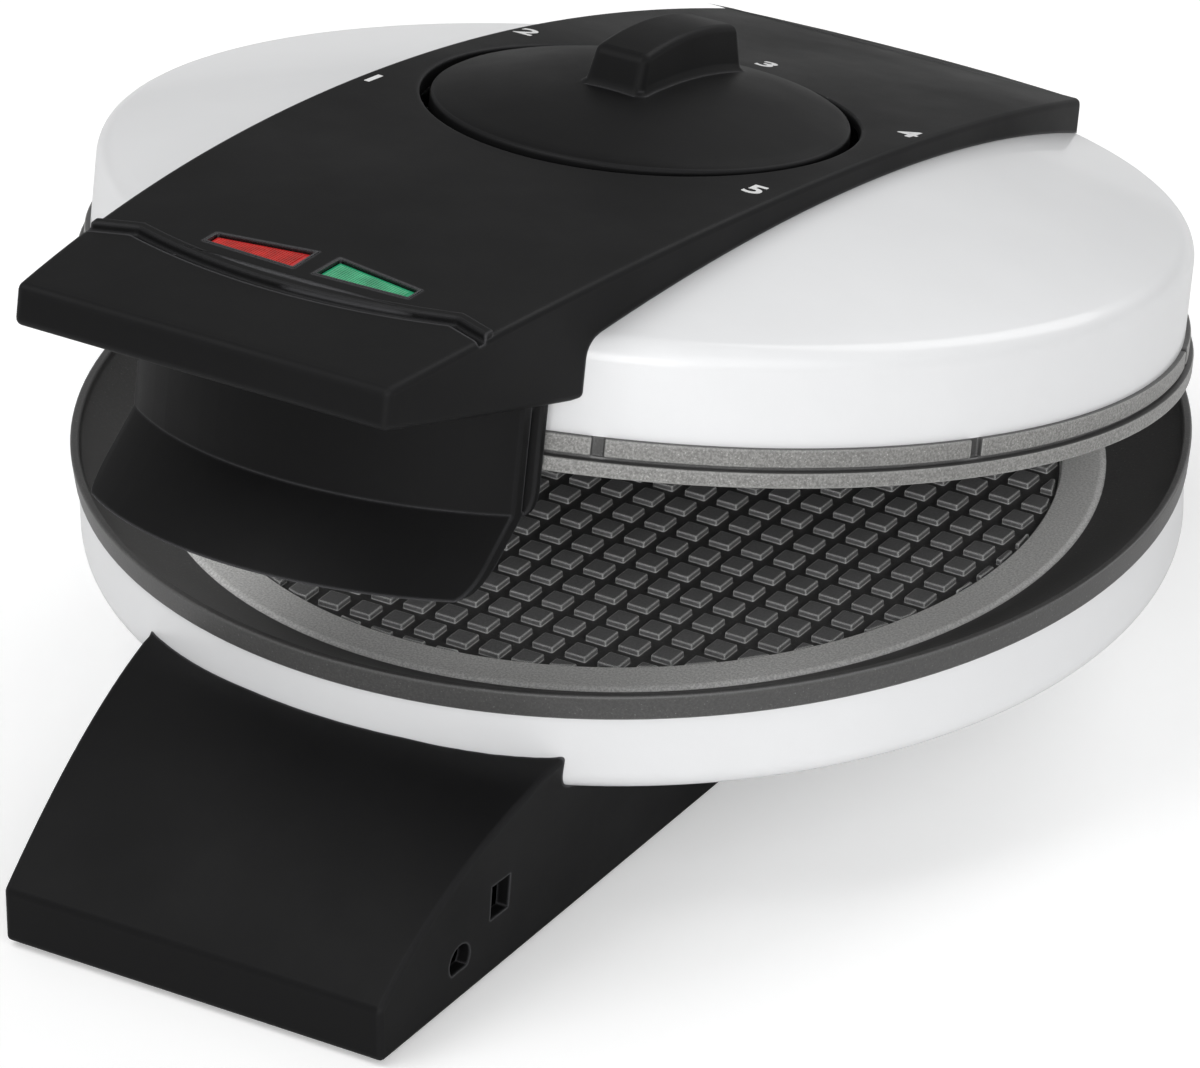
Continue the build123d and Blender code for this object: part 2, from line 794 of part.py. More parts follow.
with BuildPart() as stand:
    add(stand_form(0, foot_height))
    add(stand_form(stand_wall, foot_height), mode=Mode.SUBTRACT)
    for side in (-1, 1):
        with BuildSketch(level(rib_base_z)):
            with Locations((0, side * rib_y)):
                Rectangle(2 * (hip_waist_half - stand_wall), rib_wall)
        extrude(amount=hip_z - rib_base_z)
    with BuildSketch(level(rib_base_z)):
        with Locations(*stand_screw_points):
            Circle(boss_radius)
    extrude(amount=hip_z - rib_base_z)
    with BuildSketch(level(cover_top_z + seat_fit)):
        for x, y in cover_screw_points:
            with Locations((x, y)):
                Circle(post_radius)
            with Locations((x / 2 + x / abs(x) * hip_waist_half / 2, y)):
                Rectangle(hip_waist_half - abs(x), rib_wall)
    extrude(amount=hip_z - 2 * stand_wall - cover_top_z)
    add(stand_form(0, foot_height), mode=Mode.INTERSECT)
    with BuildSketch(level(cover_top_z + slip_fit)):
        with Locations((0, (column_front + rear_reach) / 2)):
            Rectangle(2 * column_half, rear_reach - column_front)
    extrude(amount=column_top - cover_top_z - slip_fit)
    with BuildSketch(level(cover_top_z)):
        with Locations((0, (column_front + rear_reach) / 2)):
            Rectangle(2 * (column_half - column_wall), rear_reach - column_front - 2 * column_wall)
    extrude(amount=column_top - column_wall - cover_top_z, mode=Mode.SUBTRACT)
    for side in (-1, 1):
        with BuildSketch(upright(side * ear_inner)):
            with Locations((hinge_reach, hinge_z)):
                Circle(ear_radius)
            with Locations((hinge_reach, (hinge_z + column_top) / 2 - column_wall / 2)):
                Rectangle(2 * ear_radius, hinge_z - column_top + column_wall)
        extrude(amount=side * (ear_outer - ear_inner))
    add(lower_shell(seat_fit), mode=Mode.SUBTRACT)
    with BuildSketch(level(flange_z - slip_fit)):
        Circle(rim_radius + slip_fit)
    extrude(amount=hinge_z, mode=Mode.SUBTRACT)
    for side in (-1, 1):
        with BuildSketch(upright(side * (ear_inner - past))):
            with Locations((hinge_reach, hinge_z)):
                Circle(pin_hole_radius)
        extrude(amount=side * (ear_outer - ear_inner + 2 * past), mode=Mode.SUBTRACT)
    with BuildSketch(level(rib_base_z - past)):
        for side in (-1, 1):
            with Locations((0, side * rib_y)):
                Rectangle(2 * rib_gap_half, 3 * rib_wall)
    extrude(amount=hip_z, mode=Mode.SUBTRACT)
    with BuildSketch(level(rib_base_z - past)):
        with Locations(*stand_screw_points):
            Circle(screw_radius + slip_fit)
    extrude(amount=hip_z, mode=Mode.SUBTRACT)
    with BuildSketch(level(foot_height)):
        with Locations(*cover_screw_points):
            Circle(small_screw_radius + running_fit)
    extrude(amount=cover_top_z + thread_grip, mode=Mode.SUBTRACT)
    with BuildSketch(upright(stand_waist_half - 2 * stand_wall)):
        with Locations(((slot_y[0] + slot_y[1]) / 2, (slot_z[0] + slot_z[1]) / 2)):
            Rectangle(slot_y[1] - slot_y[0], slot_z[1] - slot_z[0])
        with Locations((outlet_y, outlet_z)):
            Circle(outlet_radius)
        with Locations((outlet_y, outlet_z - outlet_flat - outlet_radius)):
            Rectangle(2 * outlet_radius, 2 * outlet_radius, mode=Mode.SUBTRACT)
    extrude(amount=hip_waist_half, mode=Mode.SUBTRACT)
    with BuildSketch(level(cover_top_z + past)):
        with Locations((0, column_front + column_wall / 2)):
            Rectangle(2 * rib_gap_half, 2 * column_wall)
    extrude(amount=lower_apex_z, mode=Mode.SUBTRACT)
    with BuildSketch(level(column_top - 2 * column_wall)):
        with Locations((-lead_x, hinge_reach)):
            Circle(lead_radius + slip_fit)
    extrude(amount=3 * column_wall, mode=Mode.SUBTRACT)
    with BuildSketch(facing_rear(rear_reach - 2 * stand_wall)):
        with Locations((-inlet_x, inlet_z)):
            Circle(bush_radius + seat_fit)
    extrude(amount=3 * stand_wall, mode=Mode.SUBTRACT)
stand.part.label = "stand"

with BuildPart() as stand_screws:
    seat = rib_base_z - seat_fit
    reach = lower_dome(hypot(*stand_screw_points[0])) + thread_grip - rib_base_z
    add(screw_set(stand_screw_points, seat, screw_radius, reach, screw_head_radius, screw_head, 1))
stand_screws.part.label = "stand_screws"

# Base cover, its screws and the rubber feet

with BuildPart() as base_cover:
    with BuildSketch(level(cover_z)):
        add(stand_outline(stand_front_half, stand_waist_half, stand_rear_half, stand_wall + slip_fit))
        with Locations(*cover_screw_points):
            Circle(small_screw_radius + slip_fit, mode=Mode.SUBTRACT)
    extrude(amount=cover_wall)
    with BuildSketch(level(cover_z)):
        with Locations(*foot_points):
            Circle(foot_radius + seat_fit)
    extrude(amount=foot_sink + seat_fit, mode=Mode.SUBTRACT)
    with BuildSketch(level(cover_z)):
        with Locations(*cover_screw_points):
            Circle(small_head_radius + slip_fit)
    extrude(amount=small_head / 2, mode=Mode.SUBTRACT)
base_cover.part.label = "base_cover"

with BuildPart() as cover_screws:
    seat = cover_z + small_head / 2 - seat_fit / 2
    reach = cover_wall + thread_grip
    add(screw_set(cover_screw_points, seat, small_screw_radius, reach, small_head_radius, small_head / 2, 1))
cover_screws.part.label = "cover_screws"

with BuildPart() as rubber_feet:
    with BuildSketch(level(0)):
        with Locations(*foot_points):
            Circle(foot_radius)
    extrude(amount=foot_height + foot_sink)
    chamfer(rubber_feet.edges().filter_by(GeomType.CIRCLE).group_by(Axis.Z)[0], foot_bevel)
rubber_feet.part.label = "rubber_feet"

# Inlet bush, terminal block and the lead to the hinge

with BuildPart() as cord_bush:
    bush_length = bush_inner + stand_wall + seat_fit
    with BuildSketch(facing_rear(rear_reach + seat_fit)):
        with Locations((-inlet_x, inlet_z)):
            Circle(bush_flange)
    extrude(amount=bush_flange_wall)
    with BuildSketch(facing_rear(rear_reach + seat_fit)):
        with Locations((-inlet_x, inlet_z)):
            Circle(bush_radius)
    extrude(amount=-bush_length)
    chamfer(cord_bush.edges().filter_by(GeomType.CIRCLE).group_by(Axis.Y)[-1], bush_bevel)
    with BuildSketch(facing_rear(rear_reach + bush_flange_wall + past)):
        with Locations((-inlet_x, inlet_z)):
            Circle(bush_bore)
    extrude(amount=-bush_length - bush_flange_wall - 2 * past, mode=Mode.SUBTRACT)
cord_bush.part.label = "cord_bush"

with BuildPart() as terminal_block:
    with BuildSketch(level(cover_top_z + seat_fit)):
        with Locations((0, terminal_y)):
            Rectangle(terminal_size[0], terminal_size[1])
    extrude(amount=terminal_size[2])
    fillet(terminal_block.edges().filter_by(Axis.Z), terminal_round)
    with BuildSketch(level(cover_top_z + seat_fit + terminal_size[2])):
        with Locations((0, terminal_y)):
            with GridLocations(terminal_pitch, terminal_pitch, 3, 1):
                Circle(terminal_pole_radius)
    extrude(amount=-terminal_size[2] / 2, mode=Mode.SUBTRACT)
terminal_block.part.label = "terminal_block"

with BuildPart() as stand_lead:
    add(lead_part(
        [
            (-lead_x, terminal_y + terminal_size[1] / 2 + seat_fit, lead_low_z),
            (-lead_x, hinge_reach, lead_low_z),
            (-lead_x, hinge_reach, hinge_z),
            (0, hinge_reach, hinge_z),
        ],
        lead_bend,
    ))
stand_lead.part.label = "stand_lead"

# Hinge pins, pressed into the ears

with BuildPart() as hinge_pins:
    for side in (-1, 1):
        with BuildSketch(upright(side * (knuckle_inner + seat_fit))):
            with Locations((hinge_reach, hinge_z)):
                Circle(pin_radius)
        extrude(amount=side * (ear_outer + seat_fit - knuckle_inner - seat_fit))
        with BuildSketch(upright(side * (ear_outer + seat_fit))):
            with Locations((hinge_reach, hinge_z)):
                Circle(pin_head_radius)
        extrude(amount=side * pin_head)
    chamfer(hinge_pins.edges().filter_by(GeomType.CIRCLE).sort_by(Axis.X)[0], pin_bevel)
    chamfer(hinge_pins.edges().filter_by(GeomType.CIRCLE).sort_by(Axis.X)[-1], pin_bevel)
hinge_pins.part.label = "hinge_pins"

# Upper plate: casting with lip, groove, notched collar, raised land and pads

with BuildPart() as upper_plate:
    collar_radius = lip_radius - collar_inset
    collar_inner = upper_shell_radius - shell_wall - collar_overlap
    with BuildSketch(section):
        with BuildLine():
            Polyline(
                (0, upper_floor_z),
                (ring_inner, upper_floor_z),
                (ring_inner, upper_ring_z),
                (ring_outer, upper_ring_z),
                (ring_outer + ring_step, upper_ring_z + ring_step),
                (lip_radius - lip_width, lip_z),
                (lip_radius, lip_z),
                (lip_radius, lip_z + lip_height),
                (lip_radius - groove_depth, lip_z + lip_height),
                (lip_radius - groove_depth, collar_z),
                (collar_radius, collar_z),
                (collar_radius, upper_open_z),
                (collar_inner, upper_open_z),
                (collar_inner - collar_taper, upper_back_z + plate_wall),
                (ring_outer, upper_back_z),
                (0, upper_back_z),
                close=True,
            )
        make_face()
    revolve(axis=plate_axis)
    for angle in notch_angles:
        for turn in (angle, -angle, 180 - angle, 180 + angle):
            with BuildSketch(radial(turn + 90)):
                with Locations((collar_radius, (collar_z + upper_open_z) / 2)):
                    Rectangle(2 * notch_depth, collar_height + past)
            extrude(amount=notch_width / 2, both=True, mode=Mode.SUBTRACT)
    with BuildSketch(level(upper_back_z)):
        with Locations(*band_screw_points):
            Circle(boss_radius)
    extrude(amount=upper_boss_rise)
    with BuildSketch(level(upper_boss_z)):
        with Locations(*band_screw_points):
            Circle(screw_radius + running_fit)
    extrude(amount=-upper_boss_rise, mode=Mode.SUBTRACT)
    add(pad_field(upper_floor_z, -pad_height), clean=False)
upper_plate.part.label = "upper_plate"

# Upper heating element with its straps and shield

with BuildPart() as upper_heating_element:
    add(heating_element(upper_tube_z, upper_leg, 1))
upper_heating_element.part.label = "upper_heating_element"

with BuildPart() as upper_element_clamps:
    add(element_clamps(upper_back_z, 1))
upper_element_clamps.part.label = "upper_element_clamps"

with BuildPart() as upper_heat_shield:
    with BuildSketch(level(upper_shield_z)):
        Circle(upper_shield_radius)
        with Locations(*band_screw_points):
            Circle(screw_radius + slip_fit, mode=Mode.SUBTRACT)
        with Locations(*leg_points()):
            Circle(tube_radius + 2 * slip_fit, mode=Mode.SUBTRACT)
    extrude(amount=shield_wall)
upper_heat_shield.part.label = "upper_heat_shield"

# Upper housing: white domed shell, open under the band, with bosses for the hinge bracket

with BuildPart() as upper_housing:
    add(upper_shell(0))
    inner_radius = upper_shell_radius - shell_wall
    add(
        shell_form(
            inner_radius,
            upper_open_z - shell_wall,
            upper_edge_z - shell_wall,
            upper_apex_z - shell_wall,
            shell_round - shell_wall / 2,
        ),
        mode=Mode.SUBTRACT,
    )
    with BuildSketch(level(upper_edge_z - 2 * shell_wall)):
        with Locations((0, (dome_window_rear - dome_window_front) / 2)):
            RectangleRounded(2 * dome_window_half, dome_window_front + dome_window_rear, dome_window_round)
        with Locations((0, crown_y)):
            Circle(well_radius + well_wall + slip_fit)
    extrude(amount=upper_dome_rise + 4 * shell_wall, mode=Mode.SUBTRACT)
    with BuildSketch(facing_rear(bracket_wall_y - shell_wall / 2)):
        with Locations(*bracket_screw_points):
            Circle(small_head_radius + shell_wall / 2)
    extrude(amount=-2 * thread_grip)
    with BuildSketch(facing_rear(upper_shell_radius)):
        with Locations(*bracket_screw_points):
            Circle(small_screw_radius + running_fit)
        with Locations((-lead_x, lead_entry_z)):
            Circle(lead_radius + slip_fit)
    extrude(amount=-upper_shell_radius / 4, mode=Mode.SUBTRACT)
upper_housing.part.label = "upper_housing"

# Top band: arched shell with the handle, the knob's well and the lamp windows

with BuildPart() as band_core:
    with BuildSketch(level(throat_z)):
        add(band_outline(0))
    extrude(amount=crown_z - throat_z + past)
    underside = [(tail_y, throat_z), (throat_y, throat_z), (-front_reach, nose_bottom_z)]
    add(arched_slab(0, underside), mode=Mode.INTERSECT)

with BuildPart() as band_hollow:
    with BuildSketch(level(throat_z - past)):
        add(band_outline(band_wall))
    extrude(amount=crown_z - throat_z + past)
    below = [(tail_y, throat_z - past), (-front_reach, throat_z - past)]
    add(arched_slab(-band_wall, below), mode=Mode.INTERSECT)
    with BuildSketch(level(throat_z - 2 * past)):
        Circle(inner_guard_radius)
    extrude(amount=throat_wall_z - throat_z + 2 * past, mode=Mode.SUBTRACT)


def rib_strip(shift, width):
    """Plan of the strip that the rib follows, moved forward by a shift."""
    end_y = rib_end_y - shift
    with BuildSketch() as strip:
        with BuildLine():
            ThreePointArc((-rib_end_half, end_y), (0, rib_front_y - shift), (rib_end_half, end_y))
            for side in (-1, 1):
                Line((side * rib_end_half, end_y), (side * rib_tip_half, rib_tip_y - shift))
            offset(amount=width / 2, side=Side.BOTH)
        make_face()
    return strip.sketch


with BuildPart() as band_rib:
    with BuildSketch(level(nose_bottom_z)):
        add(rib_strip(0, rib_width))
        add(band_outline(band_edge_round / 2), mode=Mode.INTERSECT)
    extrude(amount=crown_z - nose_bottom_z)
    add(under_arch(rib_rise), mode=Mode.INTERSECT)
    add(under_arch(-band_wall), mode=Mode.SUBTRACT)

with BuildPart() as band_furrow:
    with BuildSketch(level(nose_bottom_z)):
        add(rib_strip((rib_width + furrow_width) / 2, furrow_width))
    extrude(amount=crown_z - nose_bottom_z)
    add(under_arch(-furrow_depth), mode=Mode.SUBTRACT)

with BuildPart() as knob_well:
    with BuildSketch(level(well_floor_z - well_wall)):
        with Locations((0, crown_y)):
            Circle(well_radius + well_wall)
    extrude(amount=crown_z - well_floor_z + well_wall)
    add(under_arch(-band_edge_round / 2), mode=Mode.INTERSECT)

with BuildPart() as top_band:
    add(band_core.part)
    add(band_hollow.part, mode=Mode.SUBTRACT)
    add(upper_shell(seat_fit), mode=Mode.SUBTRACT)
    add(knob_well.part)
    add(band_rib.part)
    add(band_furrow.part, mode=Mode.SUBTRACT)
    with BuildSketch(level(block_z)):
        with Locations(*band_screw_points):
            Circle(band_boss_radius)
    extrude(amount=well_floor_z - block_z)
    for x, y in handle_screw_points + guard_screw_points:
        post_z = handle_bottom(y - post_radius) + cover_lid_wall + seat_fit
        with BuildSketch(level(post_z)):
            with Locations((x, y)):
                Circle(post_radius)
        extrude(amount=crown(y) - band_wall / 2 - post_z)
    with BuildSketch(level(well_floor_z)):
        with Locations((0, crown_y)):
            Circle(well_radius)
    extrude(amount=2 * (crown_z - well_floor_z), mode=Mode.SUBTRACT)
    with BuildSketch(level(well_floor_z)):
        with Locations((0, crown_y)):
            Circle(hub_hole_radius)
    extrude(amount=-2 * well_wall, mode=Mode.SUBTRACT)
    with BuildSketch(level(well_floor_z)):
        with Locations(*band_screw_points):
            Circle(screw_head_radius + slip_fit)
    extrude(amount=band_screw_seat_z - well_floor_z, mode=Mode.SUBTRACT)
    with BuildSketch(level(well_floor_z)):
        with Locations(*band_screw_points):
            Circle(screw_radius + slip_fit)
    extrude(amount=block_z - well_floor_z - past, mode=Mode.SUBTRACT)
    for x, y in handle_screw_points + guard_screw_points:
        with BuildSketch(level(handle_bottom(y))):
            with Locations((x, y)):
                Circle(small_screw_radius + running_fit)
        extrude(amount=crown(y) - band_wall - handle_bottom(y), mode=Mode.SUBTRACT)
    with BuildSketch(level(throat_wall_z)):
        for side in (-1, 1):
            add(window_outline(side, 0))
    extrude(amount=crown_z - throat_wall_z, mode=Mode.SUBTRACT)
top_band.part.label = "top_band"

with BuildPart() as band_screws:
    seat = band_screw_seat_z + seat_fit
    reach = seat - upper_boss_z + thread_grip
    add(screw_set(band_screw_points, seat, screw_radius, reach, screw_head_radius, screw_head, -1))
band_screws.part.label = "band_screws"

# Handle cover with its screws

with BuildPart() as handle_cover:
    with BuildSketch(level(throat_z - past)):
        add(band_outline(band_wall + slip_fit))
        Circle(inner_guard_radius + slip_fit, mode=Mode.SUBTRACT)
        with Locations(*(handle_screw_points + guard_screw_points)):
            Circle(small_screw_radius + slip_fit, mode=Mode.SUBTRACT)
    extrude(amount=crown_z - throat_z)
    add(handle_slab(0, cover_lid_wall), mode=Mode.INTERSECT)
handle_cover.part.label = "handle_cover"

with BuildPart() as handle_screws:
    seat = handle_bottom(handle_screw_y + small_head_radius) - seat_fit
    reach = cover_lid_wall + thread_grip
    add(screw_set(handle_screw_points, seat, small_screw_radius, reach, small_head_radius, small_head, 1))
handle_screws.part.label = "handle_screws"

# Finger guard: bowed skirt with a flared lip, joined by a roof to a second wall behind it

bow_centre_y = guard_front_y + guard_bow_radius

def guard_bow(half, wall):
    """Plan of the skirt's bowed wall out to a half width."""
    with BuildSketch() as bow:
        with Locations((0, bow_centre_y)):
            Circle(guard_bow_radius)
            Circle(guard_bow_radius - wall, mode=Mode.SUBTRACT)
        with Locations((0, -front_reach)):
            Rectangle(2 * half, front_reach, mode=Mode.INTERSECT)
    return bow.sketch


with BuildPart() as guard_lip:
    with BuildSketch(level(guard_kink_z)):
        add(guard_bow(guard_bow_radius, guard_flare_wall))
    flare_slope = (0, -guard_flare, guard_lip_z - guard_kink_z)
    extrude(amount=guard_bow_radius, dir=flare_slope)
    with BuildSketch(facing_rear(-2 * front_reach)):
        with Locations((0, guard_lip_z + guard_kink_z / 2)):
            RectangleRounded(2 * guard_half, guard_kink_z, guard_corner)
    extrude(amount=2 * front_reach, mode=Mode.INTERSECT)

with BuildPart() as inner_wall:
    with BuildSketch(level(0)):
        Circle(inner_guard_radius + inner_guard_wall)
        Circle(inner_guard_radius, mode=Mode.SUBTRACT)
        with Locations((0, -inner_guard_radius)):
            Rectangle(2 * inner_guard_radius, inner_guard_radius, mode=Mode.INTERSECT)
    extrude(amount=nose_bottom_z)
    with BuildSketch(facing_rear(-2 * front_reach)):
        with Locations((0, inner_guard_bottom + nose_bottom_z / 2)):
            RectangleRounded(2 * inner_guard_half, nose_bottom_z, guard_corner)
    extrude(amount=2 * front_reach, mode=Mode.INTERSECT)

with BuildPart() as guard_ceiling:
    with BuildSketch(level(throat_z - 2 * guard_roof)):
        with Locations((0, bow_centre_y)):
            Circle(guard_bow_radius - guard_wall / 2)
        with Locations((0, -front_reach)):
            Rectangle(2 * (guard_half - guard_wall / 2), front_reach, mode=Mode.INTERSECT)
        Circle(inner_guard_radius + inner_guard_wall / 2, mode=Mode.SUBTRACT)
        with Locations(*guard_screw_points):
            Circle(small_screw_radius + slip_fit, mode=Mode.SUBTRACT)
    extrude(amount=nose_bottom_z - throat_z + 2 * guard_roof)
    add(handle_slab(-seat_fit - guard_roof, -seat_fit), mode=Mode.INTERSECT)

with BuildPart() as finger_guard:
    with BuildSketch(level(guard_kink_z)):
        add(guard_bow(guard_half, guard_wall))
    extrude(amount=nose_bottom_z - guard_kink_z)
    add(guard_lip.part)
    add(inner_wall.part)
    add(guard_ceiling.part)
    add(handle_slab(-seat_fit, nose_bottom_z), mode=Mode.SUBTRACT)
finger_guard.part.label = "finger_guard"

with BuildPart() as guard_screws:
    seat = handle_bottom(guard_screw_y + small_head_radius) - guard_roof - 2 * seat_fit
    reach = guard_roof + cover_lid_wall + thread_grip
    add(screw_set(guard_screw_points, seat, small_screw_radius, reach, small_head_radius, small_head, 1))
guard_screws.part.label = "guard_screws"

# Hinge bracket: plate on the housing's rear wall with two knuckles, and its screws

with BuildPart() as hinge_bracket:
    with BuildSketch(level(bracket_web_z)):
        with Locations((0, bracket_reach / 2)):
            Rectangle(2 * (ear_inner - knuckle_gap), bracket_reach)
        Circle(upper_shell_radius + seat_fit, mode=Mode.SUBTRACT)
    extrude(amount=bracket_top_z - bracket_web_z)
    fillet(hinge_bracket.edges().filter_by(Axis.Y).group_by(Axis.Z)[-1], bracket_heel)
    for side in (-1, 1):
        with BuildSketch(upright(side * knuckle_inner)):
            with Locations((hinge_reach, hinge_z)):
                Circle(ear_radius)
            with BuildLine():
                Polyline(
                    (hinge_reach - ear_radius, hinge_z),
                    (hinge_reach - ear_radius, bracket_web_z),
                    (bracket_reach - bracket_root, bracket_web_z),
                    (bracket_reach - bracket_root, bracket_web_z + bracket_gusset),
                    (bracket_reach, bracket_web_z + bracket_gusset),
                    (hinge_reach + bracket_heel, bracket_web_z),
                    (hinge_reach + ear_radius, hinge_z),
                    close=True,
                )
            make_face()
        extrude(amount=side * (ear_inner - knuckle_gap - knuckle_inner))
    for side in (-1, 1):
        with BuildSketch(upright(side * (knuckle_inner - past))):
            with Locations((hinge_reach, hinge_z)):
                Circle(pin_hole_radius)
        extrude(amount=side * (ear_inner - knuckle_inner + past), mode=Mode.SUBTRACT)
    with BuildSketch(facing_rear(bracket_reach + past)):
        with Locations(*bracket_screw_points):
            Circle(small_screw_radius + slip_fit)
        with Locations((-lead_x, lead_entry_z)):
            Circle(lead_radius + slip_fit)
    extrude(amount=-bracket_reach / 4, mode=Mode.SUBTRACT)
hinge_bracket.part.label = "hinge_bracket"

with BuildPart() as bracket_screws:
    with BuildSketch(facing_rear(bracket_reach + seat_fit)):
        with Locations(*bracket_screw_points):
            Circle(small_head_radius)
    extrude(amount=small_head)
    with BuildSketch(facing_rear(bracket_reach + seat_fit)):
        with Locations(*bracket_screw_points):
            Circle(small_screw_radius)
    extrude(amount=bracket_wall_y - shell_wall - thread_grip - bracket_reach)
    with BuildSketch(facing_rear(bracket_reach + seat_fit + small_head)):
        with Locations(*bracket_screw_points):
            Rectangle(small_head_radius * screw_cross_share, screw_cross)
            Rectangle(screw_cross, small_head_radius * screw_cross_share)
    extrude(amount=-small_head / 2, mode=Mode.SUBTRACT)
bracket_screws.part.label = "bracket_screws"

# Thermostat under the knob, with its strap

with BuildPart() as thermostat:
    with BuildSketch(level(block_z)):
        with Locations((0, crown_y)):
            Rectangle(thermostat_size[0], thermostat_size[1])
    extrude(amount=thermostat_size[2])
    fillet(thermostat.edges().filter_by(Axis.Z), thermostat_round)
    with BuildSketch(level(block_top_z)):
        with Locations((0, crown_y)):
            Circle(thermostat_neck_radius)
    extrude(amount=thermostat_neck)
    with BuildSketch(level(neck_top_z)):
        with Locations((0, crown_y)):
            Circle(shaft_radius + running_fit)
    extrude(amount=-thermostat_bore, mode=Mode.SUBTRACT)
thermostat.part.label = "thermostat"

with BuildPart() as thermostat_strap:
    strap_half = thermostat_size[0] / 2 + seat_fit
    strap_top = block_top_z + seat_fit
    with BuildSketch(Plane(origin=(0, axis_y + crown_y, 0), x_dir=(1, 0, 0), z_dir=(0, -1, 0))):
        with BuildLine():
            Polyline(
                (-strap_half - strap_wall - strap_foot, block_z),
                (-strap_half, block_z),
                (-strap_half, strap_top),
                (strap_half, strap_top),
                (strap_half, block_z),
                (strap_half + strap_wall + strap_foot, block_z),
                (strap_half + strap_wall + strap_foot, block_z + strap_wall),
                (strap_half + strap_wall, block_z + strap_wall),
                (strap_half + strap_wall, strap_top + strap_wall),
                (-strap_half - strap_wall, strap_top + strap_wall),
                (-strap_half - strap_wall, block_z + strap_wall),
                (-strap_half - strap_wall - strap_foot, block_z + strap_wall),
                close=True,
            )
        make_face()
    extrude(amount=strap_width / 2, both=True)
    with BuildSketch(level(strap_top)):
        with Locations((0, crown_y)):
            Circle(thermostat_neck_radius + slip_fit)
    extrude(amount=2 * strap_wall, mode=Mode.SUBTRACT)
thermostat_strap.part.label = "thermostat_strap"

# Lamp windows: bezel, lenses, holder and lamps

with BuildPart() as bezel_rail:
    with BuildSketch(level(throat_wall_z)):
        with Locations((0, (holder_y[0] + holder_y[1]) / 2)):
            Rectangle(2 * holder_half, holder_y[1] - holder_y[0])
    extrude(amount=crown_z - throat_wall_z)
    add(under_arch(-band_wall - seat_fit), mode=Mode.INTERSECT)
    add(under_arch(-band_wall - seat_fit - bezel_flange), mode=Mode.SUBTRACT)

with BuildPart() as lens_bezel:
    with BuildSketch(level(throat_wall_z)):
        for side in (-1, 1):
            add(window_outline(side, seat_fit))
    extrude(amount=crown_z - throat_wall_z)
    add(under_arch(bezel_proud), mode=Mode.INTERSECT)
    add(under_arch(-band_wall - bezel_flange / 2), mode=Mode.SUBTRACT)
    add(bezel_rail.part)
    with BuildSketch(level(throat_wall_z)):
        for side in (-1, 1):
            add(window_outline(side, bezel_wall))
    extrude(amount=crown_z - throat_wall_z, mode=Mode.SUBTRACT)
lens_bezel.part.label = "lens_bezel"


def lens(side):
    """One lens, seated in the bezel; side is 1 on the right and -1 on the left."""
    with BuildPart() as glass:
        with BuildSketch(level(throat_wall_z)):
            add(window_outline(side, bezel_wall + seat_fit))
        extrude(amount=crown_z - throat_wall_z)
        add(under_arch(-lens_sunk), mode=Mode.INTERSECT)
        add(under_arch(-lens_depth), mode=Mode.SUBTRACT)
    return glass.part


red_lens = lens(-1)
red_lens.label = "red_lens"
green_lens = lens(1)
green_lens.label = "green_lens"

holder_mid = (holder_y[0] + holder_y[1]) / 2

with BuildPart() as lamp_holder:
    with BuildSketch(level(crown(holder_mid) - holder_depth)):
        with Locations((0, holder_mid)):
            Rectangle(2 * holder_half, holder_y[1] - holder_y[0])
    extrude(amount=holder_depth)
    add(under_arch(-lens_depth - seat_fit), mode=Mode.INTERSECT)
    with BuildSketch(level(crown(holder_mid) - holder_depth + holder_wall)):
        for side in (-1, 1):
            add(window_outline(side, bezel_wall + lens_ledge))
    extrude(amount=holder_depth, mode=Mode.SUBTRACT)
lamp_holder.part.label = "lamp_holder"

with BuildPart() as indicator_lamps:
    with BuildSketch(level(crown(holder_mid) - holder_depth + holder_wall + seat_fit)):
        with Locations((-lamp_x, lamp_y), (lamp_x, lamp_y)):
            Circle(lamp_radius)
    extrude(amount=lamp_length)
    lamp_tips = indicator_lamps.edges().filter_by(GeomType.CIRCLE).group_by(Axis.Z)[-1]
    fillet(lamp_tips, lamp_round)
indicator_lamps.part.label = "indicator_lamps"

# Lead from the hinge into the lid

with BuildPart() as lid_lead:
    add(lead_part(
        [
            (0, hinge_reach, hinge_z),
            (lead_x, hinge_reach, hinge_z),
            (lead_x, hinge_reach, lead_entry_z),
            (lead_x, hinge_reach - lead_entry_reach, lead_entry_z),
        ],
        lead_bend,
    ))
lid_lead.part.label = "lid_lead"

# Temperature knob: domed disc with a grip bar and a hub, its shaft and its clip

with BuildPart() as knob_grip:
    with BuildSketch(level(grip_base_z)):
        with Locations((0, grip_y)):
            RectangleRounded(grip_base_width, 2 * grip_base_half, grip_corner)
    with BuildSketch(level(grip_top_z)):
        with Locations((0, grip_y)):
            RectangleRounded(grip_top_width, 2 * grip_top_half, grip_corner)
    loft(ruled=True)
    with BuildSketch(upright(-grip_base_width)):
        with BuildLine():
            ThreePointArc(
                (grip_y - grip_base_half, grip_shoulder_z),
                (grip_y, grip_top_z),
                (grip_y + grip_base_half, grip_shoulder_z),
            )
            Polyline(
                (grip_y + grip_base_half, grip_shoulder_z),
                (grip_y + grip_base_half, knob_edge_z),
                (grip_y - grip_base_half, knob_edge_z),
                (grip_y - grip_base_half, grip_shoulder_z),
            )
        make_face()
    extrude(amount=2 * grip_base_width, mode=Mode.INTERSECT)
    fillet(knob_grip.faces().sort_by(Axis.Z)[-1].edges(), grip_round)

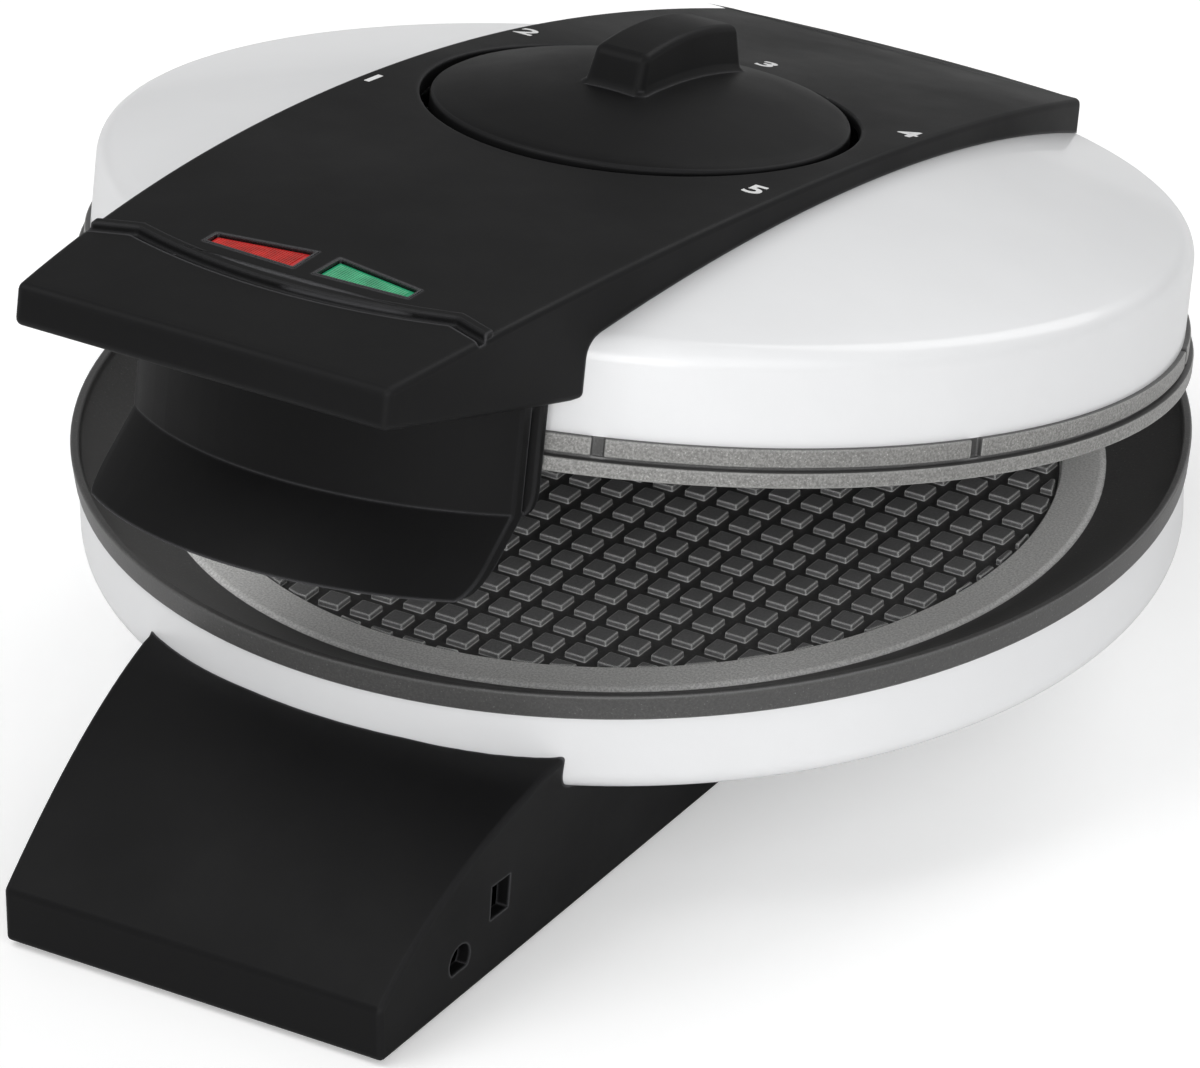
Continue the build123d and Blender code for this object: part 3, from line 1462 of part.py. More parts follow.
knob_axis = Axis((0, axis_y + crown_y, 0), (0, 0, 1))
knob_section = Plane(origin=(0, axis_y + crown_y, 0), x_dir=(1, 0, 0), z_dir=(0, -1, 0))
knob_bow = bow_radius(knob_radius, knob_dome_z - knob_edge_z)
bevel_reach = knob_radius - knob_bevel
bevel_z = knob_dome_z - sag(knob_bow, bevel_reach)
clip_top_z = well_floor_z - well_wall - slip_fit

with BuildPart() as temperature_knob:
    with BuildSketch(knob_section):
        with BuildLine():
            Polyline(
                (0, knob_dome_z),
                (0, hub_bottom_z),
                (hub_radius, hub_bottom_z),
                (hub_radius, knob_edge_z),
                (knob_radius - knob_skin, knob_edge_z - knob_skin / 2),
                (knob_radius - knob_skin, knob_bottom_z),
                (knob_radius, knob_bottom_z),
                (knob_radius, knob_edge_z - knob_bevel),
                (bevel_reach, bevel_z),
            )
            ThreePointArc(
                (bevel_reach, bevel_z),
                (knob_radius / 2, knob_dome_z - sag(knob_bow, knob_radius / 2)),
                (0, knob_dome_z),
            )
        make_face()
    revolve(axis=knob_axis)
    add(knob_grip.part)
    with BuildSketch(knob_section):
        with Locations((hub_radius - clip_groove / 2, clip_top_z - clip_height / 2)):
            Rectangle(clip_groove, clip_height + seat_fit)
    revolve(axis=knob_axis, mode=Mode.SUBTRACT)
    with BuildSketch(level(hub_bottom_z)):
        with Locations((0, crown_y)):
            Circle(shaft_radius + running_fit)
    extrude(amount=shaft_top_z + seat_fit - hub_bottom_z, mode=Mode.SUBTRACT)
temperature_knob.part.label = "temperature_knob"

with BuildPart() as thermostat_shaft:
    with BuildSketch(level(neck_top_z - thermostat_bore + seat_fit)):
        with Locations((0, crown_y)):
            Circle(shaft_radius)
    extrude(amount=shaft_top_z - neck_top_z + thermostat_bore - seat_fit)
    chamfer(thermostat_shaft.edges().filter_by(GeomType.CIRCLE), shaft_bevel)
thermostat_shaft.part.label = "thermostat_shaft"

with BuildPart() as knob_clip:
    with BuildSketch(level(clip_top_z - clip_height)):
        with Locations((0, crown_y)):
            Circle(hub_hole_radius + clip_overlap)
            Circle(hub_radius - clip_groove + running_fit, mode=Mode.SUBTRACT)
        with Locations((0, crown_y + hub_radius)):
            Rectangle(clip_gap, hub_radius, mode=Mode.SUBTRACT)
    extrude(amount=clip_height)
knob_clip.part.label = "knob_clip"

# Files: the stand's pieces as they are, the lid's and the knob's turned to the rest position

stand_pieces = [
    stand, base_cover, rubber_feet, lower_housing, lower_plate, lower_heating_element,
    lower_element_clamps, lower_heat_shield, lower_plate_screws, stand_screws, cover_screws, thermal_fuse,
    terminal_block, cord_bush, stand_lead, hinge_pins,
]
lid_pieces = [
    top_band, handle_cover, finger_guard, guard_screws, handle_screws, upper_housing, upper_plate,
    upper_heating_element, upper_element_clamps, upper_heat_shield, band_screws, hinge_bracket,
    bracket_screws, thermostat, thermostat_strap, lens_bezel, lamp_holder, indicator_lamps, lid_lead,
]
knob_pieces = [temperature_knob, thermostat_shaft, knob_clip]

for piece in stand_pieces:
    export_step(piece.part, f"parts/{piece.part.label}.step")
for piece in [name.part for name in lid_pieces + knob_pieces] + [red_lens, green_lens]:
    export_step(opened(piece), f"parts/{piece.label}.step")
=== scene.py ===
"""Stroopwafel iron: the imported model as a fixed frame, dressed for rendering.

Sizes are in millimetres, counted from the upright axis through the baking plates, with the lid
closed and the front of the iron facing -Y. Pieces of the lid are turned to the ajar rest position
about the hinge once they are modelled.
"""

import json
import logging
from dataclasses import dataclass, replace
from enum import Enum
from math import atan, cos, hypot, pi, radians, sin, sqrt
from typing import Callable, Optional, Sequence

import bmesh
import bpy
from mathutils import Matrix, Vector


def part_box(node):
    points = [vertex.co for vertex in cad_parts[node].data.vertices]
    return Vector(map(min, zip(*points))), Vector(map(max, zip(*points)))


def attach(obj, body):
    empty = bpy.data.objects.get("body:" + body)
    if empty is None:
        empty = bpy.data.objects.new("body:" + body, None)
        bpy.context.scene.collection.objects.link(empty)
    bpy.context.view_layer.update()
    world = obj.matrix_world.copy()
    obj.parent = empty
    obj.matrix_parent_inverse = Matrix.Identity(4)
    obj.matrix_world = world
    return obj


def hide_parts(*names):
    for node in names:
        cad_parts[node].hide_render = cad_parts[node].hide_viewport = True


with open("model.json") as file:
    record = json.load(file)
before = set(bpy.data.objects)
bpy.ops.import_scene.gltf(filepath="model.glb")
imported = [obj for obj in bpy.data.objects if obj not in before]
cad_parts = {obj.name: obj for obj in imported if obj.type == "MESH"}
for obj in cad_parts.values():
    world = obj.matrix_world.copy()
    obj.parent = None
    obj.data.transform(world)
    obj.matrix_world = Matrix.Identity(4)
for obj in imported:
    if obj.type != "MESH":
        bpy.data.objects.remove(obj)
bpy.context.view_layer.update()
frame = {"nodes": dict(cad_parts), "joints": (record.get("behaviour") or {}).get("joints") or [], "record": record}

logging.basicConfig(level=logging.INFO, format="%(message)s")
log = logging.getLogger("iron")

MM = 0.001
TURN_STEPS = 180
BOW_STEPS = 40
DOME_STEPS = 26
CORNER_STEPS = 8
HAIR = 0.02
WELD = 0.001
EVEN_WEIGHT = 60
FIT = 0.1
FAR = 200.0
Point = tuple[float, float]
Piece = bpy.types.Object
EdgeTest = Callable[[Vector, Vector], bool]
FaceTest = Callable[[Vector, Vector], bool]


class Body(Enum):
    """The bodies that pieces ride on."""

    STAND = "stand"
    LID = "lid"
    KNOB = "knob"


@dataclass(frozen=True)
class Datum:
    """Places that every sub-assembly shares.

    Args:
        axis_y: Place of the plates' axis along the frame's Y.
        hinge_reach: Reach of the hinge behind that axis.
        hinge_z: Height of the hinge.
        ajar: Angle by which the lid stands open at rest, in degrees.
    """

    axis_y: float
    hinge_reach: float
    hinge_z: float
    ajar: float

    def at(self, x: float, y: float, z: float) -> Vector:
        """A place given from the plates' axis, in the frame's metres."""
        return Vector((x, y + self.axis_y, z)) * MM

    def from_axis(self, place: Vector) -> Vector:
        """A place in the frame's metres, given from the plates' axis."""
        return place / MM - Vector((0, self.axis_y, 0))

    def opening(self) -> Matrix:
        """The turn that takes a lid piece from closed to the rest position.

        Returns:
            The turn, as a matrix in the frame's metres.
        """
        hinge = self.at(0, self.hinge_reach, self.hinge_z)
        turn = Matrix.Rotation(-radians(self.ajar), 4, "X")
        return Matrix.Translation(hinge) @ turn @ Matrix.Translation(-hinge)


def read_datum() -> Datum:
    """Reads the shared places from the frame.

    Returns:
        The plates' axis from the lower plate's box, and the hinge from its joint.
    """
    hinge = next(joint for joint in frame["joints"] if joint["name"] == "lid_hinge")
    low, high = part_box("lower_plate")
    axis_y = (low.y + high.y) / 2 / MM
    return Datum(axis_y, hinge["pos_m"][1] / MM - axis_y, hinge["pos_m"][2] / MM, -hinge["range_deg"][0])


DATUM = read_datum()


def sag(radius: float, reach: float) -> float:
    """How far an arc of a radius falls away at a reach from its top."""
    return radius - sqrt(radius**2 - reach**2)


def bow_radius(reach: float, rise: float) -> float:
    """Radius of the arc that falls by a rise over a reach from its top."""
    return (reach**2 + rise**2) / (2 * rise)


def arc_through(first: Point, second: Point, third: Point) -> tuple[Point, float]:
    """Finds the circle through three points.

    Args:
        first: One point of the circle.
        second: Another point.
        third: A third point, not in line with the others.

    Returns:
        The circle's centre and its radius.
    """
    (ax, ay), (bx, by), (cx, cy) = first, second, third
    scale = 2 * (ax * (by - cy) + bx * (cy - ay) + cx * (ay - by))
    squares = [x * x + y * y for x, y in (first, second, third)]
    x = (squares[0] * (by - cy) + squares[1] * (cy - ay) + squares[2] * (ay - by)) / scale
    y = (squares[0] * (cx - bx) + squares[1] * (ax - cx) + squares[2] * (bx - ax)) / scale
    return (x, y), hypot(ax - x, ay - y)


def along_arc(first: Point, second: Point, third: Point) -> Callable[[float], float]:
    """The second coordinate of an arc through three points as a function of the first.

    Args:
        first: Where the arc starts.
        second: A point between, which also says on which side of the centre the arc lies.
        third: Where the arc ends.

    Returns:
        A function from the first coordinate to the second.
    """
    (x, y), radius = arc_through(first, second, third)
    side = 1 if second[1] > y else -1
    return lambda value: y + side * sqrt(max(radius**2 - (value - x) ** 2, 0))


def spread(start: float, end: float, steps: int) -> list[float]:
    """Evenly spaced values from start to end, both included."""
    return [start + (end - start) * step / steps for step in range(steps + 1)]


@dataclass(frozen=True)
class Section:
    """One upright section of a loft along Y, a trapezoid with its foot and head level."""

    y: float
    low_half: float
    high_half: float
    low: float
    high: float


class Bench:
    """Modelling steps that every sub-assembly shares, each done with Blender's own operators."""

    @staticmethod
    def clear() -> None:
        """Leaves edit mode and deselects every object."""
        if bpy.context.object and bpy.context.object.mode != "OBJECT":
            bpy.ops.object.mode_set(mode="OBJECT")
        bpy.ops.object.select_all(action="DESELECT")

    @classmethod
    def hold(cls, piece: Piece) -> None:
        """Makes a piece the only selected and the active object.

        Args:
            piece: The piece.
        """
        cls.clear()
        piece.select_set(True)
        bpy.context.view_layer.objects.active = piece

    @classmethod
    def edit(cls, piece: Piece, mode: str = "VERT") -> None:
        """Opens a piece in edit mode with nothing selected, picking in a given mode.

        Args:
            piece: The piece.
            mode: VERT, EDGE or FACE.
        """
        cls.hold(piece)
        bpy.ops.object.mode_set(mode="EDIT")
        bpy.ops.mesh.select_mode(type=mode)
        bpy.ops.mesh.select_all(action="DESELECT")

    @classmethod
    def modify(cls, piece: Piece, kind: str, **settings: object) -> Piece:
        """Adds a modifier to a piece and applies it.

        Args:
            piece: The piece.
            kind: The modifier's type.
            **settings: Values for the modifier's settings, by name.

        Returns:
            The piece.
        """
        cls.hold(piece)
        bpy.ops.object.modifier_add(type=kind)
        modifier = piece.modifiers[-1]
        for name, value in settings.items():
            setattr(modifier, name, value)
        bpy.ops.object.modifier_apply(modifier=modifier.name)
        return piece

    @classmethod
    def settle(cls, piece: Piece, name: str) -> Piece:
        """Names a piece and writes its place and turn into its mesh.

        Args:
            piece: The piece.
            name: Its new name.

        Returns:
            The piece.
        """
        cls.hold(piece)
        bpy.ops.object.transform_apply(location=True, rotation=True, scale=True)
        piece.name = name
        piece.data.name = name
        return piece

    @classmethod
    def outward(cls, piece: Piece) -> Piece:
        """Closes the seams of a closed piece and turns its faces outward.

        Args:
            piece: The piece.

        Returns:
            The piece.
        """
        cls.edit(piece)
        bpy.ops.mesh.select_all(action="SELECT")
        bpy.ops.mesh.remove_doubles(threshold=WELD * MM)
        bpy.ops.mesh.normals_make_consistent(inside=False)
        cls.clear()
        return piece

    @classmethod
    def thread(cls, places: Sequence[Vector]) -> Piece:
        """Pulls a single vertex along a row of places.

        Args:
            places: The places in order, in metres.

        Returns:
            The object, still in edit mode with its last vertex selected.
        """
        cls.clear()
        bpy.ops.mesh.primitive_plane_add(size=MM, location=places[0])
        piece = bpy.context.active_object
        bpy.ops.object.mode_set(mode="EDIT")
        bpy.ops.mesh.select_mode(type="VERT")
        bpy.ops.mesh.merge(type="CENTER")
        for start, end in zip(places, places[1:]):
            bpy.ops.mesh.extrude_vertices_move(TRANSFORM_OT_translate={"value": end - start})
        return piece

    @classmethod
    def revolve(cls, name: str, profile: Sequence[Point], centre_y: float = 0) -> Piece:
        """Spins a profile about an upright axis.

        Args:
            name: Name of the piece.
            profile: Distances from the axis and heights, in order.
            centre_y: Place of the axis along Y.

        Returns:
            The closed piece.
        """
        piece = cls.thread([DATUM.at(radius, centre_y, height) for radius, height in profile])
        bpy.ops.mesh.select_all(action="SELECT")
        centre = DATUM.at(0, centre_y, 0)
        bpy.ops.mesh.spin(steps=TURN_STEPS, angle=2 * pi, center=centre, axis=(0, 0, 1))
        return cls.outward(cls.settle(piece, name))

    @classmethod
    def prism(cls, name: str, outline: Sequence[Vector], sweep: Vector) -> Piece:
        """Extrudes a flat outline.

        Args:
            name: Name of the piece.
            outline: Corners of the outline in order, in millimetres.
            sweep: Direction and length of the extrusion, in millimetres.

        Returns:
            The closed piece.
        """
        piece = cls.thread([DATUM.at(*corner) for corner in outline])
        bpy.ops.mesh.select_all(action="SELECT")
        bpy.ops.mesh.edge_face_add()
        bpy.ops.mesh.select_all(action="SELECT")
        bpy.ops.mesh.extrude_region_move(TRANSFORM_OT_translate={"value": Vector(sweep) * MM})
        return cls.outward(cls.settle(piece, name))

    @classmethod
    def slab(cls, name: str, outline: Sequence[Point], low: float, high: float) -> Piece:
        """Extrudes a plan outline from one height to another."""
        return cls.prism(name, [Vector((x, y, low)) for x, y in outline], Vector((0, 0, high - low)))

    @classmethod
    def block(cls, name: str, low: Sequence[float], high: Sequence[float]) -> Piece:
        """A square block between two corners."""
        outline = [(low[0], low[1]), (high[0], low[1]), (high[0], high[1]), (low[0], high[1])]
        return cls.slab(name, outline, low[2], high[2])

    @classmethod
    def rod(cls, name: str, radius: float, start: Vector, sweep: Vector, sides: int = 48) -> Piece:
        """A round rod along one of the frame's axes.

        Args:
            name: Name of the piece.
            radius: Radius of the rod.
            start: Middle of its first end.
            sweep: Way from there to its other end.
            sides: Number of its sides.

        Returns:
            The rod.
        """
        across = Vector((sweep.y, sweep.z, sweep.x)).normalized()
        beyond = across.cross(sweep.normalized())
        turns = [2 * pi * side / sides for side in range(sides)]
        outline = [start + (across * cos(turn) + beyond * sin(turn)) * radius for turn in turns]
        return cls.prism(name, outline, sweep)

    @classmethod
    def post(cls, name: str, radius: float, centre_y: float, low: float, high: float, sides: int) -> Piece:
        """An upright round rod between two heights, on the middle line."""
        return cls.rod(name, radius, Vector((0, centre_y, low)), Vector((0, 0, high - low)), sides)

    @classmethod
    def loft(cls, name: str, sections: Sequence[Section]) -> Piece:
        """Extrudes one upright face from section to section and reshapes it at each.

        Args:
            name: Name of the piece.
            sections: The sections in order along Y.

        Returns:
            The closed piece.
        """
        cls.clear()
        place = DATUM.at(0, sections[0].y, 0)
        bpy.ops.mesh.primitive_plane_add(size=1, location=place, rotation=(pi / 2, 0, 0))
        piece = cls.settle(bpy.context.active_object, name)
        cls.edit(piece)
        bpy.ops.mesh.select_all(action="SELECT")
        cls._shape(piece, sections[0])
        for before, after in zip(sections, sections[1:]):
            step = Vector((0, after.y - before.y, 0)) * MM
            bpy.ops.mesh.extrude_region_move(TRANSFORM_OT_translate={"value": step})
            cls._shape(piece, after)
        cls.clear()
        return cls.outward(piece)

    @classmethod
    def _shape(cls, piece: Piece, section: Section) -> None:
        """Moves the four selected corners of a loft's end to a section's foot and head.

        Args:
            piece: The loft, in edit mode.
            section: The section.
        """
        mesh = bmesh.from_edit_mesh(piece.data)
        corners = sorted((vert for vert in mesh.verts if vert.select), key=lambda vert: vert.co.z)
        order = [vert.index for vert in corners]
        foot = (order[:2], section.low_half, section.low)
        head = (order[2:], section.high_half, section.high)
        for pair, half, height in (foot, head):
            cls.pick(piece, pair)
            mesh = bmesh.from_edit_mesh(piece.data)
            mesh.verts.ensure_lookup_table()
            place = mesh.verts[pair[0]].co.copy()
            widen = half * MM / abs(place.x)
            bpy.ops.transform.resize(value=(widen, 1, 1), center_override=(0, place.y, place.z))
            bpy.ops.transform.translate(value=(0, 0, height * MM - place.z))
        cls.pick(piece, order)

    @staticmethod
    def pick(piece: Piece, order: Sequence[int]) -> None:
        """Selects vertices of a piece and no others.

        Args:
            piece: The piece, in edit mode.
            order: The vertices' numbers.
        """
        mesh = bmesh.from_edit_mesh(piece.data)
        mesh.verts.index_update()
        bpy.ops.mesh.select_all(action="DESELECT")
        mesh.verts.ensure_lookup_table()
        for number in order:
            mesh.verts[number].select_set(True)
        mesh.select_flush(True)
        bmesh.update_edit_mesh(piece.data)

    @classmethod
    def pick_edges(cls, piece: Piece, wanted: EdgeTest) -> int:
        """Selects the edges whose two ends, in millimetres, pass a test.

        Args:
            piece: The piece, in edit mode and picking edges.
            wanted: The test.

        Returns:
            The number of edges selected.
        """
        mesh = bmesh.from_edit_mesh(piece.data)
        for edge in mesh.edges:
            ends = [DATUM.from_axis(vert.co) for vert in edge.verts]
            edge.select_set(wanted(*ends))
        bmesh.update_edit_mesh(piece.data)
        return sum(edge.select for edge in mesh.edges)

    @classmethod
    def pick_faces(cls, piece: Piece, wanted: FaceTest) -> None:
        """Opens a piece in edit mode and selects the faces whose place and normal pass a test.

        Args:
            piece: The piece.
            wanted: The test.
        """
        cls.edit(piece, "FACE")
        mesh = bmesh.from_edit_mesh(piece.data)
        for face in mesh.faces:
            face.select_set(wanted(DATUM.from_axis(face.calc_center_median()), face.normal))
        bmesh.update_edit_mesh(piece.data)

    @classmethod
    def round_edges(cls, piece: Piece, wanted: EdgeTest, width: float, steps: int = 3) -> Piece:
        """Rounds the edges whose ends pass a test.

        Args:
            piece: The piece.
            wanted: The test.
            width: Width of the round.
            steps: Number of faces across it.

        Returns:
            The piece.
        """
        cls.edit(piece, "EDGE")
        if cls.pick_edges(piece, wanted):
            bpy.ops.mesh.bevel(offset=width * MM, offset_type="OFFSET", segments=steps, affect="EDGES")
        cls.clear()
        return piece

    @classmethod
    def slice(cls, piece: Piece, place: Vector, normal: Vector) -> Piece:
        """Cuts away what lies beyond a plane and closes the cut.

        Args:
            piece: The piece.
            place: A place on the plane, in millimetres.
            normal: The direction of what goes.

        Returns:
            The piece.
        """
        cls.edit(piece)
        bpy.ops.mesh.select_all(action="SELECT")
        facing = Vector(normal).normalized()
        bpy.ops.mesh.bisect(plane_co=DATUM.at(*place), plane_no=facing, use_fill=True, clear_outer=True)
        cls.clear()
        return cls.outward(piece)

    @classmethod
    def combine(cls, piece: Piece, tool: Piece, operation: str) -> Piece:
        """Joins, cuts or trims a piece with a tool, which is used up.

        Args:
            piece: The piece that stays.
            tool: The tool.
            operation: UNION, DIFFERENCE or INTERSECT.

        Returns:
            The piece.
        """
        cls.modify(piece, "BOOLEAN", operation=operation, solver="EXACT", object=tool)
        mesh = tool.data
        bpy.data.objects.remove(tool)
        bpy.data.meshes.remove(mesh)
        return piece

    @classmethod
    def cut(cls, piece: Piece, tool: Piece) -> Piece:
        """Takes a tool's space out of a piece."""
        return cls.combine(piece, tool, "DIFFERENCE")

    @classmethod
    def trim(cls, piece: Piece, tool: Piece) -> Piece:
        """Keeps only what a piece shares with a tool."""
        return cls.combine(piece, tool, "INTERSECT")

    @classmethod
    def fuse(cls, piece: Piece, tool: Piece) -> Piece:
        """Makes a piece and a tool one."""
        return cls.combine(piece, tool, "UNION")

    @classmethod
    def join(cls, piece: Piece, other: Piece) -> Piece:
        """Puts two meshes into one object as they are.

        Args:
            piece: The piece that stays.
            other: The piece that joins it, and takes its materials where it has none.

        Returns:
            The piece.
        """
        if not any(other.data.materials):
            other.data.materials.clear()
            for material in piece.data.materials:
                other.data.materials.append(material)
        cls.hold(piece)
        other.select_set(True)
        bpy.ops.object.join()
        return piece

    @classmethod
    def soften(cls, piece: Piece, width: float, steps: int = 3, angle: float = 32) -> Piece:
        """Rounds every edge sharper than an angle, once corners too close for the round are merged.

        Args:
            piece: The piece.
            width: Width of the round.
            steps: Number of faces across it.
            angle: The angle in degrees.

        Returns:
            The piece.
        """
        cls.edit(piece)
        bpy.ops.mesh.select_all(action="SELECT")
        bpy.ops.mesh.remove_doubles(threshold=width * MM / 2)
        return cls.modify(
            piece, "BEVEL", width=width * MM, segments=steps, limit_method="ANGLE",
            angle_limit=radians(angle), use_clamp_overlap=False, miter_outer="MITER_ARC",
        )

    @classmethod
    def split(cls, piece: Piece, middle: Vector, reach: Vector, cuts: int) -> Piece:
        """Adds rows of edges round a piece, evenly spaced and square to a direction.

        Args:
            piece: The piece.
            middle: The middle of the rows.
            reach: Way from the middle to the last row.
            cuts: Number of steps between the first row and the last.

        Returns:
            The piece.
        """
        cls.edit(piece)
        for share in spread(-1, 1, cuts):
            bpy.ops.mesh.select_all(action="SELECT")
            bpy.ops.mesh.bisect(plane_co=DATUM.at(*(middle + reach * share)), plane_no=reach.normalized())
        cls.clear()
        return piece

    @classmethod
    def lift(cls, piece: Piece, rise: Callable[[Vector], float]) -> Piece:
        """Raises each corner of a piece by an amount that depends on its place.

        Args:
            piece: The piece.
            rise: The amount in millimetres at a place.

        Returns:
            The piece.
        """
        cls.edit(piece)
        mesh = bmesh.from_edit_mesh(piece.data)
        mesh.verts.index_update()
        moves: dict[float, list[int]] = {}
        for vert in mesh.verts:
            moves.setdefault(round(rise(DATUM.from_axis(vert.co)), 3), []).append(vert.index)
        for amount, order in moves.items():
            if amount:
                cls.pick(piece, order)
                bpy.ops.transform.translate(value=(0, 0, amount * MM))
        cls.clear()
        return piece

    @classmethod
    def repeat(cls, piece: Piece, count: int, pitch: Vector) -> Piece:
        """Repeats a piece in a row.

        Args:
            piece: The piece.
            count: Number of pieces in the row.
            pitch: Way from one to the next.

        Returns:
            The row as one piece.
        """
        return cls.modify(
            piece, "ARRAY", count=count, use_relative_offset=False, use_constant_offset=True,
            constant_offset_displace=pitch * MM,
        )

    @classmethod
    def turn(cls, piece: Piece, matrix: Matrix) -> Piece:
        """Turns a piece by a matrix and writes the turn into its mesh.

        Args:
            piece: The piece.
            matrix: The turn.

        Returns:
            The piece.
        """
        cls.hold(piece)
        piece.matrix_world = matrix @ piece.matrix_world
        bpy.context.view_layer.update()
        bpy.ops.object.transform_apply(location=True, rotation=True, scale=True)
        return piece

    @classmethod
    def smooth(cls, piece: Piece, angle: float = 30) -> Piece:
        """Shades a piece smooth up to an angle in degrees, with its large faces kept even.

        Args:
            piece: The piece.
            angle: The angle.

        Returns:
            The piece.
        """
        cls.hold(piece)
        bpy.ops.object.shade_smooth_by_angle(angle=radians(angle))
        return cls.modify(piece, "WEIGHTED_NORMAL", keep_sharp=True, weight=EVEN_WEIGHT)


class Tree:
    """A node tree with short ways to add nodes and to join them."""

    def __init__(self, tree: bpy.types.NodeTree) -> None:
        """Takes over an empty tree."""
        self.tree = tree

    def add(self, kind: str, **inputs: object) -> bpy.types.Node:
        """Adds a node.

        Args:
            kind: The node's type, without its ShaderNode prefix.
            **inputs: Values for its inputs, or the output sockets that feed them, by name with
                underscores for spaces.

        Returns:
            The node.
        """
        node = self.tree.nodes.new("ShaderNode" + kind)
        for name, value in inputs.items():
            self.feed(node, name.replace("_", " "), value)
        return node

    def feed(self, node: bpy.types.Node, name: str | int, value: object) -> None:
        """Sets one input of a node, or joins an output to it.

        Args:
            node: The node.
            name: The input's name or number.
            value: The value, or the output socket.
        """
        if isinstance(value, bpy.types.NodeSocket):
            self.tree.links.new(value, node.inputs[name])
        else:
            node.inputs[name].default_value = value

    def sum(self, operation: str, *values: object) -> bpy.types.NodeSocket:
        """Adds a Math node.

        Args:
            operation: The operation.
            *values: Its values, or the output sockets that feed it.

        Returns:
            The result's socket.
        """
        node = self.add("Math")
        node.operation = operation
        for number, value in enumerate(values):
            self.feed(node, number, value)
        return node.outputs[0]

    def blend(self, share: object, first: object, second: object) -> bpy.types.NodeSocket:
        """Adds a mix of two colours.

        Args:
            share: Share of the second colour.
            first: The first colour.
            second: The second colour.

        Returns:
            The mix's socket.
        """
        node = self.add("Mix")
        node.data_type = "RGBA"
        for number, value in ((0, share), (6, first), (7, second)):
            self.feed(node, number, value)
        return node.outputs[2]

    def ramp(self, value: object, low: float, high: float) -> bpy.types.NodeSocket:
        """Stretches a value from a range to 0..1, and holds it there.

        Args:
            value: The value's socket.
            low: Start of the range.
            high: End of the range.

        Returns:
            The stretched value's socket.
        """
        node = self.add("MapRange")
        for number, given in ((0, value), (1, low), (2, high)):
            self.feed(node, number, given)
        return node.outputs[0]


def start_group(
    name: str, inputs: Sequence[tuple[str, float]], outputs: Sequence[str]
) -> tuple[Tree, dict[str, bpy.types.Node]]:
    """Starts a shader node group with number inputs and outputs.

    Args:
        name: Name of the group.
        inputs: Names and default values of its inputs.
        outputs: Names of its outputs.

    Returns:
        The group's tree, and its input and output nodes by the names "in" and "out".
    """
    group = bpy.data.node_groups.new(name, "ShaderNodeTree")
    for label, value in inputs:
        socket = group.interface.new_socket(label, in_out="INPUT", socket_type="NodeSocketFloat")
        socket.default_value = value
    for label in outputs:
        group.interface.new_socket(label, in_out="OUTPUT", socket_type="NodeSocketFloat")
    ends = {"in": group.nodes.new("NodeGroupInput"), "out": group.nodes.new("NodeGroupOutput")}
    return Tree(group), ends


def make_grain() -> bpy.types.NodeTree:
    """Fine moulded grain with a broad cloudiness: Height for bump, Shade for colour and gloss.

    Returns:
        The group.
    """
    tree, ends = start_group("moulded grain", [("Scale", 2500), ("Cloud", 30)], ["Height", "Shade"])
    place = tree.add("TexCoord").outputs["Object"]
    fine = tree.add("TexNoise", Vector=place, Scale=ends["in"].outputs[0], Detail=3.0, Roughness=0.6)
    broad = tree.add("TexNoise", Vector=place, Scale=ends["in"].outputs[1], Detail=4.0, Roughness=0.55)
    tree.feed(ends["out"], 0, fine.outputs[0])
    tree.feed(ends["out"], 1, tree.ramp(broad.outputs[0], 0.3, 0.7))
    return tree.tree


def make_edge_light() -> bpy.types.NodeTree:
    """Mask of the convex edges, lightened partly as handling wear and partly as a painted highlight.

    Returns:
        The group.
    """
    # Every convex edge is lightened: partly handling wear, partly a painted highlight where rounds would catch
    # light.
    tree, ends = start_group("rubbed edges with painted highlight", [("Radius", 0.0008), ("Reach", 0.12)], ["Mask"])
    rounded = tree.add("Bevel", Radius=ends["in"].outputs[0])
    rounded.samples = 4
    true = tree.add("NewGeometry").outputs["Normal"]
    product = tree.add("VectorMath")
    product.operation = "DOT_PRODUCT"
    tree.feed(product, 0, rounded.outputs[0])
    tree.feed(product, 1, true)
    gap = tree.sum("SUBTRACT", 1.0, product.outputs["Value"])
    tree.feed(ends["out"], 0, tree.ramp(gap, 0.0, ends["in"].outputs[1]))
    return tree.tree


def make_speckle() -> bpy.types.NodeTree:
    """Pale flecks of a non-stick coating, and the grain that they stand in.

    Returns:
        The group.
    """
    tree, ends = start_group("coating speckle", [("Scale", 1600), ("Share", 0.6)], ["Fleck", "Grain"])
    place = tree.add("TexCoord").outputs["Object"]
    fine = tree.add("TexNoise", Vector=place, Scale=ends["in"].outputs[0], Detail=2.0, Roughness=0.7)
    cells = tree.add("TexVoronoi", Vector=place, Scale=ends["in"].outputs[0])
    spots = tree.ramp(cells.outputs["Distance"], 0.32, 0.12)
    flecks = tree.sum("MULTIPLY", spots, tree.ramp(fine.outputs[0], ends["in"].outputs[1], 0.75))
    tree.feed(ends["out"], 0, flecks)
    tree.feed(ends["out"], 1, fine.outputs[0])
    return tree.tree


def make_dust() -> bpy.types.NodeTree:
    """Mask of the thin dust that settles on what faces up.

    Returns:
        The group.
    """
    tree, ends = start_group("settled dust", [("Scale", 60)], ["Mask"])
    place = tree.add("TexCoord").outputs["Object"]
    patches = tree.add("TexNoise", Vector=place, Scale=ends["in"].outputs[0], Detail=8.0, Roughness=0.7)
    up = tree.add("SeparateXYZ", Vector=tree.add("NewGeometry").outputs["Normal"]).outputs[2]
    flat = tree.ramp(up, 0.3, 1.0)
    tree.feed(ends["out"], 0, tree.sum("MULTIPLY", flat, tree.ramp(patches.outputs[0], 0.45, 0.8)))
    return tree.tree


